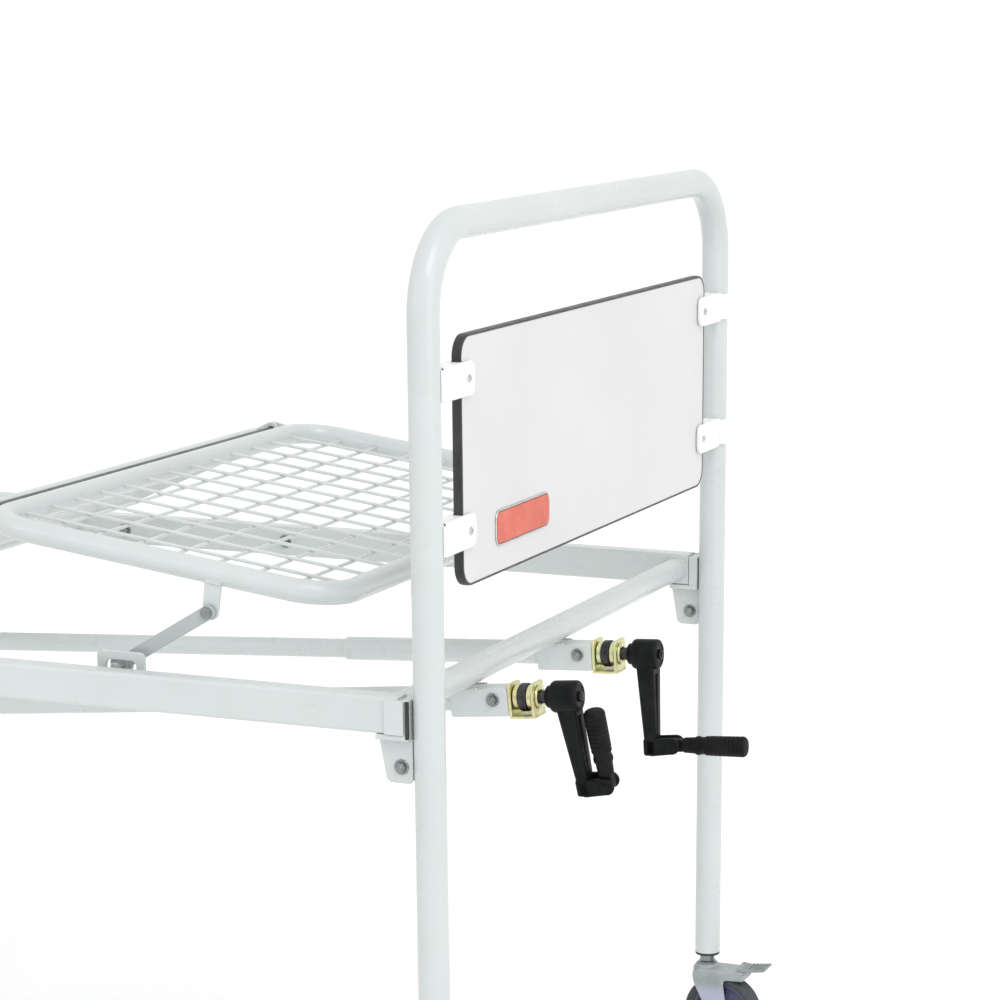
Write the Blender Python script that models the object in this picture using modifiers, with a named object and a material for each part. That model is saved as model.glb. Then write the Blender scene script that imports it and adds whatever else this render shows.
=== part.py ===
"""Manual two-crank ward bed: tubular end bows with clipped-in panels, a fixed
seat section, and hinged backrest, thigh and leg sections on a mesh deck.

Metres, +Z up, +X towards the foot end, -Y the near side. The origin is at
the middle of the bounding box, on the floor.
"""
import math

import bmesh
import bpy
from mathutils import Matrix, Vector

# ---------------------------------------------------------------- dimensions
XF = 0.9448                 # foot-end post plane
POST_SPACING_X = 2.040      # foot post plane to head post plane
XH = XF - POST_SPACING_X    # head-end post plane
POST_Y = 0.420              # post centre from the middle
POST_R = 0.016              # end-bow tube radius
POST_FOOT_Z = 0.130         # where the post tube stops above the castor
BOW_TOP_Z = 1.094           # centre of the bow's top rail
BOW_BEND_R = 0.085          # bend radius at the bow's corners

ZR = 0.623                  # side-rail centre height
RAIL_H, RAIL_W = 0.038, 0.025
RAIL_Y = 0.4235             # side-rail centre
RAIL_END_GAP = 0.028        # rail end to post plane
CROSS_R = 0.014             # cross-rail tube radius
CROSS_X = 0.045             # cross rail inboard of the post plane

PANEL_T = 0.0095
PANEL_HALF_W = 0.356
PANEL_Z0, PANEL_Z1 = 0.7390, 0.9885
PANEL_CORNER_R = 0.022
CLIP_Z = (0.796, 0.946)
CLIP_H = 0.034

FRAME_R = 0.0125            # deck section tube radius
DECK_Y = 0.369              # deck section side tube centre
DECK_Z = ZR + 0.035         # hinge axis height and flat deck level
DECK_BEND_R = 0.050
BAR_OFF = 0.026             # end bar centre from its hinge axis

THIGH_HINGE_X = XF - 0.840
BACK_HINGE_X = XF - 1.090
THIGH_LEN = 0.3070          # thigh hinge axis to knee axis
LEG_LEN = 0.4325            # knee axis to the leg section's foot bar
BACK_LEN = 0.840            # backrest hinge axis to its head bar

THIGH_REST = math.radians(23.19)   # thigh raised from flat
LEG_REST = math.radians(7.52)      # leg section falling to the foot
BACK_REST = math.radians(40.0)     # backrest raised from flat

GRID_T = 0.004              # deck lattice bar
GRID_PITCH = 0.100
EYE_R, EYE_HOLE_R, ROD_R = 0.0105, 0.0056, 0.0050
EYE_Y, EYE_T = 0.328, 0.005

BACK_CRANK_Y, KNEE_CRANK_Y = 0.035, -0.210
BACK_HUB = (XF + 0.058, ZR - 0.024)
KNEE_HUB = (XF + 0.060, ZR - 0.020)
BACK_LEVER, KNEE_LEVER = 0.140, 0.145
BACK_SWING = math.radians(35.0)    # half of the backrest's 70 degrees
KNEE_SWING = math.radians(15.0)    # half of the thigh's 30 degrees
PIN_R = 0.005

STRUT_B, STRUT_H = 0.3025, 0.0386  # strut pivot along and below the leg tube
STRUT_LEN = 0.1197
STRUT_REST = math.radians(30.63)   # strut's fall towards the head, at rest
STRUT_Y, STRUT_T = 0.385, 0.005    # strut plate beside the leg section's tube

WHEEL_R, WHEEL_W = 0.050, 0.024
TRAIL = 0.022
GAP = 0.0003


# ------------------------------------------------------------------- clearing
for ob in list(bpy.data.objects):
    bpy.data.objects.remove(ob, do_unlink=True)

PARTS = bpy.data.collections.new("ward_bed")
TOOLS = bpy.data.collections.new("cutters")
bpy.context.scene.collection.children.link(PARTS)
bpy.context.scene.collection.children.link(TOOLS)


# ------------------------------------------------------------------ materials
def material(name, rgb, rough, metal=0.0):
    m = bpy.data.materials.new(name)
    m.use_nodes = True
    b = m.node_tree.nodes["Principled BSDF"]
    b.inputs["Base Color"].default_value = (*rgb, 1.0)
    b.inputs["Roughness"].default_value = rough
    b.inputs["Metallic"].default_value = metal
    return m


def coated(name):
    return material(name, (0.86, 0.88, 0.88), 0.35)


# -------------------------------------------------------------------- helpers
def place(ob, parent=None):
    PARTS.objects.link(ob)
    if parent is not None:
        ob.parent = parent
    return ob


def finish(ob, mat):
    ob.data.materials.clear()
    ob.data.materials.append(mat)
    return ob


def mesh_object(name, bm):
    bmesh.ops.recalc_face_normals(bm, faces=bm.faces)
    me = bpy.data.meshes.new(name)
    bm.to_mesh(me)
    bm.free()
    return bpy.data.objects.new(name, me)


def smooth(ob, angle=40):
    ob.data.shade_smooth()
    ob.data.set_sharp_from_angle(angle=math.radians(angle))
    return ob


def box(name, lo, hi, bevel=0.0, segments=2):
    lo, hi = Vector(lo), Vector(hi)
    size, mid = hi - lo, (hi + lo) / 2
    bm = bmesh.new()
    bmesh.ops.create_cube(bm, size=1.0, matrix=Matrix.Translation(mid) @ Matrix.Diagonal((*size, 1)))
    if bevel:
        bmesh.ops.bevel(bm, geom=list(bm.edges), offset=bevel, segments=segments, profile=0.5, affect='EDGES')
    return mesh_object(name, bm)


def rod(name, a, b, r, sides=16, r2=None):
    """A solid round bar from a to b."""
    a, b = Vector(a), Vector(b)
    d = b - a
    turn = d.to_track_quat('Z', 'X').to_matrix().to_4x4()
    bm = bmesh.new()
    bmesh.ops.create_cone(bm, cap_ends=True, segments=sides, radius1=r, radius2=r if r2 is None else r2,
                          depth=d.length, matrix=Matrix.Translation((a + b) / 2) @ turn)
    return smooth(mesh_object(name, bm))


def turned(name, profile, steps=20, closed=False):
    """A profile of (radius, height) turned about Z, running down its outer side."""
    bm = bmesh.new()
    vs = [bm.verts.new((r, 0.0, z)) for r, z in profile]
    for p, q in zip(vs, vs[1:]):
        bm.edges.new((p, q))
    if closed:
        bm.edges.new((vs[-1], vs[0]))
    me = bpy.data.meshes.new(name)
    bm.to_mesh(me)
    bm.free()
    ob = bpy.data.objects.new(name, me)
    m = ob.modifiers.new("turn", 'SCREW')
    m.axis, m.angle = 'Z', math.tau
    m.steps = m.render_steps = steps
    m.use_merge_vertices = True
    m.merge_threshold = 0.00005
    return ob


def arc(cx, cz, r, a0, a1, n):
    return [(cx + r * math.cos(a0 + (a1 - a0) * i / n), cz + r * math.sin(a0 + (a1 - a0) * i / n)) for i in range(n + 1)]


def rounded_loop(x0, x1, y0, y1, r, n=4):
    """Points round a rectangle with rounded corners, anticlockwise."""
    pts = []
    for cx, cy, a in ((x1 - r, y0 + r, -90), (x1 - r, y1 - r, 0), (x0 + r, y1 - r, 90), (x0 + r, y0 + r, 180)):
        pts += arc(cx, cy, r, math.radians(a), math.radians(a + 90), n)
    return pts


def wire(name, points, r, closed=False, res=3):
    cu = bpy.data.curves.new(name, 'CURVE')
    cu.dimensions = '3D'
    cu.bevel_depth = r
    cu.bevel_resolution = res
    cu.use_fill_caps = not closed
    sp = cu.splines.new('POLY')
    sp.points.add(len(points) - 1)
    for p, co in zip(sp.points, points):
        p.co = (*co, 1.0)
    sp.use_cyclic_u = closed
    return bpy.data.objects.new(name, cu)


def flat(name, outlines, thickness):
    """A flat plate in the local XY plane from closed outlines; inner ones are holes."""
    cu = bpy.data.curves.new(name, 'CURVE')
    cu.dimensions = '2D'
    cu.fill_mode = 'BOTH'
    cu.extrude = thickness / 2
    for pts in outlines:
        sp = cu.splines.new('POLY')
        sp.points.add(len(pts) - 1)
        for p, co in zip(sp.points, pts):
            p.co = (co[0], co[1], 0.0, 1.0)
        sp.use_cyclic_u = True
    return bpy.data.objects.new(name, cu)


def to_mesh(ob):
    """The curve's evaluated shape as a closed mesh object in the same place."""
    TOOLS.objects.link(ob)
    bpy.context.view_layer.update()
    me = bpy.data.meshes.new_from_object(ob.evaluated_get(bpy.context.evaluated_depsgraph_get()))
    bm = bmesh.new()
    bm.from_mesh(me)
    bmesh.ops.remove_doubles(bm, verts=bm.verts, dist=0.00002)
    bmesh.ops.recalc_face_normals(bm, faces=bm.faces)
    bm.to_mesh(me)
    bm.free()
    name, world = ob.name, ob.matrix_world.copy()
    bpy.data.objects.remove(ob, do_unlink=True)
    new = bpy.data.objects.new(name, me)
    new.matrix_world = world
    return new


def upright(ob, y):
    """Stands a flat plate, drawn with X along and Y up, in the XZ plane at y."""
    ob.matrix_world = Matrix.Translation((0, y, 0)) @ Matrix.Rotation(math.radians(90), 4, 'X')
    return ob


def baked(ob):
    """A mesh object with its own transform taken into its points."""
    bpy.context.view_layer.update()
    ob.data.transform(ob.matrix_basis)
    ob.matrix_basis = Matrix.Identity(4)
    return ob


def plate_xz(name, outlines, y, thickness):
    return baked(upright_mesh(flat(name, outlines, thickness), y))


def upright_mesh(ob, y):
    m = to_mesh(ob)
    return upright(m, y)


def combine(ob, other, how):
    """Adds or cuts another closed mesh, which stays as a wire guide."""
    other.hide_render = True
    other.display_type = 'WIRE'
    TOOLS.objects.link(other)
    other.parent = ob.parent
    m = ob.modifiers.new(how.lower(), 'BOOLEAN')
    m.operation, m.object, m.solver = how, other, 'EXACT'
    return ob


def ring(cx, cz, r, n=14, a0=0.0, a1=math.tau, end=False):
    k = n + 1 if end else n
    return [(cx + r * math.cos(a0 + (a1 - a0) * i / n), cz + r * math.sin(a0 + (a1 - a0) * i / n)) for i in range(k)]


def joint_frame(name, at, turn_y=0.0, parent=None):
    e = bpy.data.objects.new(name, None)
    e.empty_display_size = 0.03
    PARTS.objects.link(e)
    if parent is not None:
        e.parent = parent
    e.location = at
    e.rotation_euler = (0.0, turn_y, 0.0)
    return e


# ------------------------------------------------------------------- end bows
def bow(name, x):
    s = POST_Y - BOW_BEND_R
    t = BOW_TOP_Z - BOW_BEND_R
    left = arc(-s, t, BOW_BEND_R, math.pi, math.pi / 2, 8)
    right = arc(s, t, BOW_BEND_R, math.pi / 2, 0.0, 8)
    pts = [(x, -POST_Y, POST_FOOT_Z)] + [(x, y, z) for y, z in left + right] + [(x, POST_Y, POST_FOOT_Z)]
    return finish(place(wire(name, pts, POST_R, res=4)), coated(name))


bow("foot_end_bow", XF)
bow("head_end_bow", XH)


# --------------------------------------------------------- panels and clips
def panel(name, x0, x1):
    pts = rounded_loop(-PANEL_HALF_W, PANEL_HALF_W, PANEL_Z0, PANEL_Z1, PANEL_CORNER_R, 5)
    ob = flat(name, [pts], x1 - x0)
    ob.matrix_world = Matrix(((0, 0, 1, (x0 + x1) / 2), (1, 0, 0, 0), (0, 1, 0, 0), (0, 0, 0, 1)))
    return finish(place(ob), material(name, (0.80, 0.79, 0.80), 0.4))


panel("foot_panel", XF, XF + PANEL_T)
panel("head_panel", XH - PANEL_T, XH)


def clip(name, x_out, x_in, side, z):
    """A saddle block between the post and the panel, with a jaw on each face."""
    s = 1 if side > 0 else -1
    lo_x, hi_x = min(x_out, x_in), max(x_out, x_in)
    body_y = sorted((s * (PANEL_HALF_W - 0.026), s * (POST_Y - POST_R - 0.0006)))
    ob = box(name, (lo_x - 0.0045, body_y[0], z - CLIP_H / 2), (hi_x + 0.0045, body_y[1], z + CLIP_H / 2), 0.003, 2)
    slot_y = sorted((s * (PANEL_HALF_W + 0.0004), s * (PANEL_HALF_W - 0.040)))
    combine(place(ob), box(name + "_slot", (lo_x - 0.0004, slot_y[0], z - CLIP_H), (hi_x + 0.0004, slot_y[1], z + CLIP_H)), 'DIFFERENCE')
    saddle = rod(name + "_saddle", (XF if x_out > 0 else XH, s * POST_Y, z - CLIP_H), (XF if x_out > 0 else XH, s * POST_Y, z + CLIP_H), POST_R + 0.0004, 24)
    combine(ob, saddle, 'DIFFERENCE')
    return finish(ob, material(name, (0.9, 0.9, 0.9), 0.45))


for end, (xo, xi) in (("foot", (XF + PANEL_T, XF)), ("head", (XH - PANEL_T, XH))):
    for tag, side in (("near", -1), ("far", 1)):
        for level, z in zip(("lower", "upper"), CLIP_Z):
            clip(f"{end}_clip_{tag}_{level}", xo, xi, side, z)


# ------------------------------------------------------- side and cross rails
def side_rail(name, s):
    ob = box(name, (XH + RAIL_END_GAP, s * RAIL_Y - RAIL_W / 2, ZR - RAIL_H / 2),
             (XF - RAIL_END_GAP, s * RAIL_Y + RAIL_W / 2, ZR + RAIL_H / 2), 0.003, 2)
    return finish(place(ob), coated(name))


side_rail("side_rail_near", -1)
side_rail("side_rail_far", 1)


def cross_rail(name, x):
    y = RAIL_Y - RAIL_W / 2 - GAP
    return finish(place(rod(name, (x, -y, ZR), (x, y, ZR), CROSS_R, 16)), coated(name))


cross_rail("foot_cross_rail", XF - CROSS_X)
cross_rail("head_cross_rail", XH + CROSS_X)


def rail_bracket(name, x_post, towards, s):
    """A welded foot plate under the rail end, with a bolted web below it."""
    x = lambda d: x_post - towards * d
    web = [(x(0.0163), ZR - 0.0235), (x(0.0163), ZR - 0.070), (x(0.045), ZR - 0.070), (x(0.053), ZR - 0.0235)]
    if towards < 0:
        web.reverse()
    hole = ring(x(0.0285), ZR - 0.053, 0.0042, 12)
    ob = plate_xz(name, [web, hole], s * RAIL_Y, 0.005)
    xs = sorted((x(0.0163), x(0.053)))
    shelf = box(name + "_shelf", (xs[0], s * RAIL_Y - RAIL_W / 2, ZR - 0.0243), (xs[1], s * RAIL_Y + RAIL_W / 2, ZR - RAIL_H / 2 - GAP))
    combine(place(ob), shelf, 'UNION')
    xe = sorted((x(0.0163), x(RAIL_END_GAP - GAP)))
    end = box(name + "_end", (xe[0], s * RAIL_Y - 0.0025, ZR - 0.0235), (xe[1], s * RAIL_Y + 0.0025, ZR + 0.010))
    combine(ob, end, 'UNION')
    return finish(ob, coated(name))


for end, xp, towards in (("foot", XF, 1), ("head", XH, -1)):
    for tag, s in (("near", -1), ("far", 1)):
        rail_bracket(f"rail_bracket_{end}_{tag}", xp, towards, s)


# -------------------------------------------------------------- deck sections
BACK = joint_frame("backrest_hinge", (BACK_HINGE_X, 0, DECK_Z), BACK_REST)
THIGH = joint_frame("thigh_hinge", (THIGH_HINGE_X, 0, DECK_Z), -THIGH_REST)
LEG = joint_frame("knee_hinge", (THIGH_LEN, 0, 0), THIGH_REST + LEG_REST, THIGH)


def section(name, x0, x1, parent, eyes, extra=()):
    """A rounded rectangle of tube with hinge eyes; x is local, along the deck."""
    pts = [(x, y, 0.0) for x, y in rounded_loop(x0, x1, -DECK_Y, DECK_Y, DECK_BEND_R)]
    ob = place(baked(to_mesh(wire(name, pts, FRAME_R, closed=True, res=3))), parent)
    if parent is None:
        ob.location = (0, 0, DECK_Z)
    for axis_x, y_in in eyes:
        bar_x = x0 if abs(x0 - axis_x) < abs(x1 - axis_x) else x1
        s = 1 if bar_x > axis_x else -1
        tip = ring(axis_x, 0, EYE_R, 10, math.radians(90), math.radians(270), end=True) if s > 0 else \
            ring(axis_x, 0, EYE_R, 10, math.radians(-90), math.radians(90), end=True)
        bar_side = [(bar_x, -EYE_R), (bar_x, EYE_R)] if s > 0 else [(bar_x, EYE_R), (bar_x, -EYE_R)]
        outline = tip + bar_side
        for side in (-1, 1):
            y = side * (y_in + EYE_T / 2)
            eye = plate_xz(f"{name}_eye_{'n' if side < 0 else 'f'}_{axis_x:.2f}", [outline, ring(axis_x, 0, EYE_HOLE_R, 12)], y, EYE_T)
            if parent is None:
                eye.location = (0, 0, DECK_Z)
            combine(ob, eye, 'UNION')
    for piece, how in extra:
        if parent is None:
            piece.location = (0, 0, DECK_Z)
        combine(ob, piece, how)
    return finish(ob, coated(name))


def lever(name, x_bar, pin, y):
    """A flat arm welded under a bar, ending round a cross pin."""
    d = Vector((pin[0] - x_bar, pin[1]))
    n = Vector((-d.y, d.x)).normalized()
    u = d.normalized()
    top, w0, w1 = Vector((x_bar, 0.0)), 0.011, 0.010
    a = math.atan2(n.y, n.x)
    ends = [tuple(Vector(pin) + w1 * Vector((math.cos(t), math.sin(t)))) for t in
            [a + math.pi + math.pi * i / 8 for i in range(9)]]
    if (Vector(ends[4]) - top).length < d.length:
        ends = [tuple(Vector(pin) + w1 * Vector((math.cos(t), math.sin(t)))) for t in
                [a + math.pi - math.pi * i / 8 for i in range(9)]]
    outline = [tuple(top + n * w0), tuple(top - n * w0)] + ends
    return plate_xz(name, [outline], y, 0.006)


back_pin = (BACK_LEVER * math.sin(BACK_SWING), -BACK_LEVER * math.cos(BACK_SWING))
knee_pin = (-KNEE_LEVER * math.sin(KNEE_SWING), -KNEE_LEVER * math.cos(KNEE_SWING))

section("backrest_frame", -BACK_LEN, -BAR_OFF, BACK, [(0.0, EYE_Y)], [
    (lever("backrest_lever_plate", -BAR_OFF, back_pin, BACK_CRANK_Y), 'UNION'),
    (rod("backrest_lever_pin", (back_pin[0], BACK_CRANK_Y - 0.014, back_pin[1]), (back_pin[0], BACK_CRANK_Y + 0.014, back_pin[1]), PIN_R, 14), 'UNION'),
])
section("thigh_frame", BAR_OFF, THIGH_LEN - BAR_OFF, THIGH, [(0.0, EYE_Y), (THIGH_LEN, EYE_Y)], [
    (lever("thigh_lever_plate", BAR_OFF, knee_pin, KNEE_CRANK_Y), 'UNION'),
    (rod("thigh_lever_pin", (knee_pin[0], KNEE_CRANK_Y - 0.014, knee_pin[1]), (knee_pin[0], KNEE_CRANK_Y + 0.014, knee_pin[1]), PIN_R, 14), 'UNION'),
])


def lug(name, side):
    """A lug welded to the side tube, with a headed pin that the strut turns on."""
    pts = ring(STRUT_B, -STRUT_H, 0.009, 8, math.radians(180), math.radians(360), end=True) + \
        [(STRUT_B + 0.009, -0.005), (STRUT_B - 0.009, -0.005)]
    y_pin = side * (STRUT_Y - 0.0065)
    return [(plate_xz(f"{name}_plate", [pts], y_pin, 0.004), 'UNION'),
            (rod(f"{name}_pin", (STRUT_B, y_pin, -STRUT_H), (STRUT_B, side * (STRUT_Y + 0.0065), -STRUT_H), 0.0035, 12), 'UNION'),
            (rod(f"{name}_head", (STRUT_B, side * (STRUT_Y + 0.0040), -STRUT_H), (STRUT_B, side * (STRUT_Y + 0.0065), -STRUT_H), 0.0065, 12), 'UNION')]


section("leg_frame", BAR_OFF, LEG_LEN, LEG, [(0.0, EYE_Y + EYE_T + 0.001)],
        lug("lug_near", -1) + lug("lug_far", 1))

SEAT_X0, SEAT_X1 = BACK_HINGE_X + BAR_OFF, THIGH_HINGE_X - BAR_OFF
beam_y = RAIL_Y - RAIL_W / 2 - GAP
section("seat_frame", SEAT_X0, SEAT_X1, None,
        [(BACK_HINGE_X, EYE_Y + EYE_T + 0.001), (THIGH_HINGE_X, EYE_Y + EYE_T + 0.001)], [
            (rod("seat_beam_rear", (SEAT_X0 + 0.030, -beam_y, -0.0235), (SEAT_X0 + 0.030, beam_y, -0.0235), FRAME_R, 14), 'UNION'),
            (rod("seat_beam_front", (SEAT_X1 - 0.030, -beam_y, -0.0235), (SEAT_X1 - 0.030, beam_y, -0.0235), FRAME_R, 14), 'UNION'),
        ])


def hinge_rod(name, at, parent):
    y = EYE_Y + 2 * EYE_T + 0.004
    return finish(place(rod(name, (at, -y, 0 if parent else DECK_Z), (at, y, 0 if parent else DECK_Z), ROD_R, 12), parent),
                  material(name, (0.6, 0.6, 0.62), 0.3, 1.0))


hinge_rod("backrest_hinge_rod", BACK_HINGE_X, None)
hinge_rod("thigh_hinge_rod", THIGH_HINGE_X, None)
hinge_rod("knee_hinge_rod", THIGH_LEN, THIGH)


def lattice(name, x0, x1, parent):
    """A flat welded grid that fills a section frame, corners cut to clear its bends."""
    ins = FRAME_R + GAP
    x0, x1, y0, y1 = x0 + ins, x1 - ins, -DECK_Y + ins, DECK_Y - ins
    nx, ny = max(2, round((x1 - x0) / GRID_PITCH)), max(2, round((y1 - y0) / GRID_PITCH))
    w, c = GRID_T, 0.040
    outer = [(x0 + c, y0), (x1 - c, y0), (x1, y0 + c), (x1, y1 - c), (x1 - c, y1), (x0 + c, y1), (x0, y1 - c), (x0, y0 + c)]
    outlines = [outer]
    px, py = (x1 - x0 - w) / nx, (y1 - y0 - w) / ny
    k = c - 0.586 * w
    for i in range(nx):
        for j in range(ny):
            a0, a1 = x0 + w + i * px, x0 + (i + 1) * px
            b0, b1 = y0 + w + j * py, y0 + (j + 1) * py
            cell = []
            for (px_, py_), corner in (((a0, b0), (i == 0, j == 0)), ((a1, b0), (i == nx - 1, j == 0)),
                                       ((a1, b1), (i == nx - 1, j == ny - 1)), ((a0, b1), (i == 0, j == ny - 1))):
                if all(corner):
                    sx = 1 if px_ == a0 else -1
                    sy = 1 if py_ == b0 else -1
                    first, last = (px_ + sx * k, py_), (px_, py_ + sy * k)
                    cell += [last, first] if sx * sy > 0 else [first, last]
                else:
                    cell.append((px_, py_))
            outlines.append(cell[::-1])
    ob = flat(name, outlines, GRID_T)
    if parent is None:
        ob.location = (0, 0, DECK_Z)
    return finish(place(ob, parent), coated(name))


lattice("backrest_mesh", -BACK_LEN, -BAR_OFF, BACK)
lattice("seat_mesh", SEAT_X0, SEAT_X1, None)
lattice("thigh_mesh", BAR_OFF, THIGH_LEN - BAR_OFF, THIGH)
lattice("leg_mesh", BAR_OFF, LEG_LEN, LEG)


# --------------------------------------------------------------- leg supports
for tag, side in (("near", -1), ("far", 1)):
    STRUT = joint_frame(f"strut_pivot_{tag}", (STRUT_B, side * STRUT_Y, -STRUT_H), -STRUT_REST - LEG_REST, LEG)
    eye = ring(0, 0, 0.0075, 10, math.radians(-90), math.radians(90), end=True)
    low = ring(-STRUT_LEN, 0, 0.0130, 14, math.radians(35), math.radians(325), end=True)
    outline = eye + low
    ob = plate_xz(f"leg_strut_{tag}", [outline, ring(0, 0, 0.0040, 10)], 0.0, STRUT_T)
    place(ob, STRUT)
    y1, y2 = side * 0.001, side * 0.0185
    combine(ob, rod(f"strut_pin_{tag}", (-STRUT_LEN, y1, 0), (-STRUT_LEN, y2, 0), 0.004, 12), 'UNION')
    finish(ob, coated(f"leg_strut_{tag}"))

    xa, za = XF - 0.3589, ZR + 0.0170
    half_x, half_z = 0.0125 + 0.004 + 0.0015, 0.004 + 0.0030
    outline = rounded_loop(xa - half_x - 0.010, xa + half_x + 0.010, za - 0.030, za + half_z + 0.009, 0.006, 3)
    slot = rounded_loop(xa - half_x, xa + half_x, za - half_z, za + half_z, 0.003, 2)
    y = side * (DECK_Y + 0.0290)
    ob = plate_xz(f"strut_guide_{tag}", [outline, slot], y, 0.004)
    place(ob)
    ys = sorted((side * (DECK_Y + 0.0290), side * (RAIL_Y - RAIL_W / 2 - GAP)))
    foot = box(f"strut_guide_foot_{tag}", (xa - half_x - 0.004, ys[0], za - 0.029), (xa + half_x + 0.004, ys[1], za - half_z - 0.004))
    combine(ob, foot, 'UNION')
    finish(ob, coated(f"strut_guide_{tag}"))


# ---------------------------------------------------------------- crank units
def pin_track(lever_len, swing, hub, hinge_x):
    """Heights of the lever pin over its swing, and the drive axis through their middle."""
    lo = DECK_Z - lever_len
    hi = DECK_Z - lever_len * math.cos(swing)
    mid = (lo + hi) / 2
    slope = math.atan2(hub[1] - mid, hub[0] - hinge_x)
    return slope


def crank_unit(prefix, y, hub, lever_len, swing, hinge_x, pin_world, fold, swing_back):
    """Along the unit's own X, which points out of the bed; the hub is at 0."""
    slope = pin_track(lever_len, swing, hub, hinge_x)
    base = joint_frame(prefix + "_crank_axis", (hub[0], y, hub[1]), -slope)
    white = coated(prefix + "_crank_bracket")
    # fixed: white channel under the cross rail, with the screw housing tube
    body = box(prefix + "_crank_bracket", (-0.127, -0.015, -0.0180), (-0.060, 0.015, 0.0125), 0.002, 1)
    place(body, base)
    sleeve = rod(prefix + "_housing_tube", (-0.370, 0, 0), (-0.120, 0, 0), 0.0135, 18)
    combine(body, sleeve, 'UNION')
    combine(body, rod(prefix + "_housing_bore", (-0.380, 0, 0), (-0.125, 0, 0), 0.0116, 18), 'DIFFERENCE')
    combine(body, rod(prefix + "_bracket_bore", (-0.130, 0, 0), (-0.050, 0, 0), 0.0080, 14), 'DIFFERENCE')
    finish(body, white)
    # fixed: zinc yoke with two bearing plates
    yoke = box(prefix + "_bearing_yoke", (-0.0597, -0.015, -0.0205), (-0.0305, 0.015, 0.0165))
    place(yoke, base)
    combine(yoke, box(prefix + "_yoke_gap", (-0.0565, -0.020, -0.0175), (-0.0337, 0.020, 0.030)), 'DIFFERENCE')
    combine(yoke, rod(prefix + "_yoke_bore", (-0.070, 0, 0), (-0.020, 0, 0), 0.0080, 14), 'DIFFERENCE')
    finish(yoke, material(prefix + "_bearing_yoke", (0.72, 0.62, 0.28), 0.35, 0.9))
    # turning: screw with thrust collar
    prof = [(0.0, -0.0203), (0.0072, -0.0203), (0.0072, -0.0345), (0.0150, -0.0345), (0.0150, -0.0557), (0.0070, -0.0557), (0.0070, -0.300), (0.0, -0.300)]
    screw = turned(prefix + "_screw", prof, 16)
    place(screw, base)
    screw.rotation_euler = (0, math.radians(90), 0)
    finish(screw, material(prefix + "_screw", (0.06, 0.06, 0.065), 0.45, 0.6))
    # sliding: drive tube from inside the housing to a slotted fork at the lever pin
    inv = (Matrix.Translation((hub[0], y, hub[1])) @ Matrix.Rotation(-slope, 4, 'Y')).inverted()
    local_pin = inv @ Vector((pin_world[0], y, pin_world[1]))
    half_w, half_h = PIN_R + 0.0030, PIN_R + 0.0020
    lo, hi = swing_back
    px = local_pin.x + (lo[0] + hi[0]) / 2
    w, hh = (hi[0] - lo[0]) / 2 + half_w, (hi[1] - lo[1]) / 2 + half_h
    cz = local_pin.z + (lo[1] + hi[1]) / 2
    near = -0.224 if prefix == "backrest" else -0.150
    tube = rod(prefix + "_drive_tube", (px + w + 0.018, 0, 0), (near, 0, 0), 0.0110, 16)
    place(tube, base)
    combine(tube, rod(prefix + "_tube_bore", (near - 0.200, 0, 0), (near + 0.010, 0, 0), 0.0080, 14), 'DIFFERENCE')
    plates = rounded_loop(px - w - 0.007, px + w + 0.0265, cz - hh - 0.007, cz + hh + 0.007, 0.006, 3)
    slot = rounded_loop(px - w, px + w, cz - hh, cz + hh, 0.002, 2)
    for k, off in (("a", -0.0065), ("b", 0.0065)):
        combine(tube, plate_xz(f"{prefix}_fork_{k}", [plates, slot], off, 0.004), 'UNION')
    combine(tube, box(prefix + "_fork_web", (px + w + 0.0120, -0.0085, -0.010), (px + w + 0.0260, 0.0085, 0.010)), 'UNION')
    finish(tube, coated(prefix + "_drive_tube"))
    # turning: hub and arm
    black = material(prefix + "_crank_arm", (0.025, 0.025, 0.027), 0.45)
    arm = rod(prefix + "_crank_arm", (-0.0200, 0, 0), (0.0160, 0, 0), 0.0170, 20)
    place(arm, base)
    turn = Matrix.Rotation(math.radians(15.0) if prefix == "knee" else 0.0, 4, 'X')
    bm = bmesh.new()
    bmesh.ops.create_cube(bm, size=1.0)
    for v in bm.verts:
        top = v.co.z > 0
        tx, ty = (0.0090, 0.0140) if top else (0.0065, 0.0100)
        v.co = Vector((tx * (1 if v.co.x > 0 else -1), ty * (1 if v.co.y > 0 else -1), 0.004 if top else -0.1030))
    bmesh.ops.bevel(bm, geom=list(bm.edges), offset=0.003, segments=2, profile=0.5, affect='EDGES')
    bmesh.ops.transform(bm, matrix=turn, verts=bm.verts)
    combine(arm, mesh_object(prefix + "_arm_blade", bm), 'UNION')
    for k, off in (("a", -0.0087), ("b", 0.0087)):
        cheek = [(0.000, -0.096), (0.000, -0.113)] + ring(0.028, -0.103, 0.0095, 10, math.radians(-100), math.radians(100), end=True)
        piece = plate_xz(f"{prefix}_arm_cheek_{k}", [cheek], off, 0.0040)
        piece.data.transform(turn)
        combine(arm, piece, 'UNION')
    heel = box(prefix + "_arm_heel", (-0.0060, -0.0107, -0.1150), (0.0080, 0.0107, -0.0950), 0.002, 1)
    heel.data.transform(turn)
    combine(arm, heel, 'UNION')
    finish(arm, black)
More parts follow.
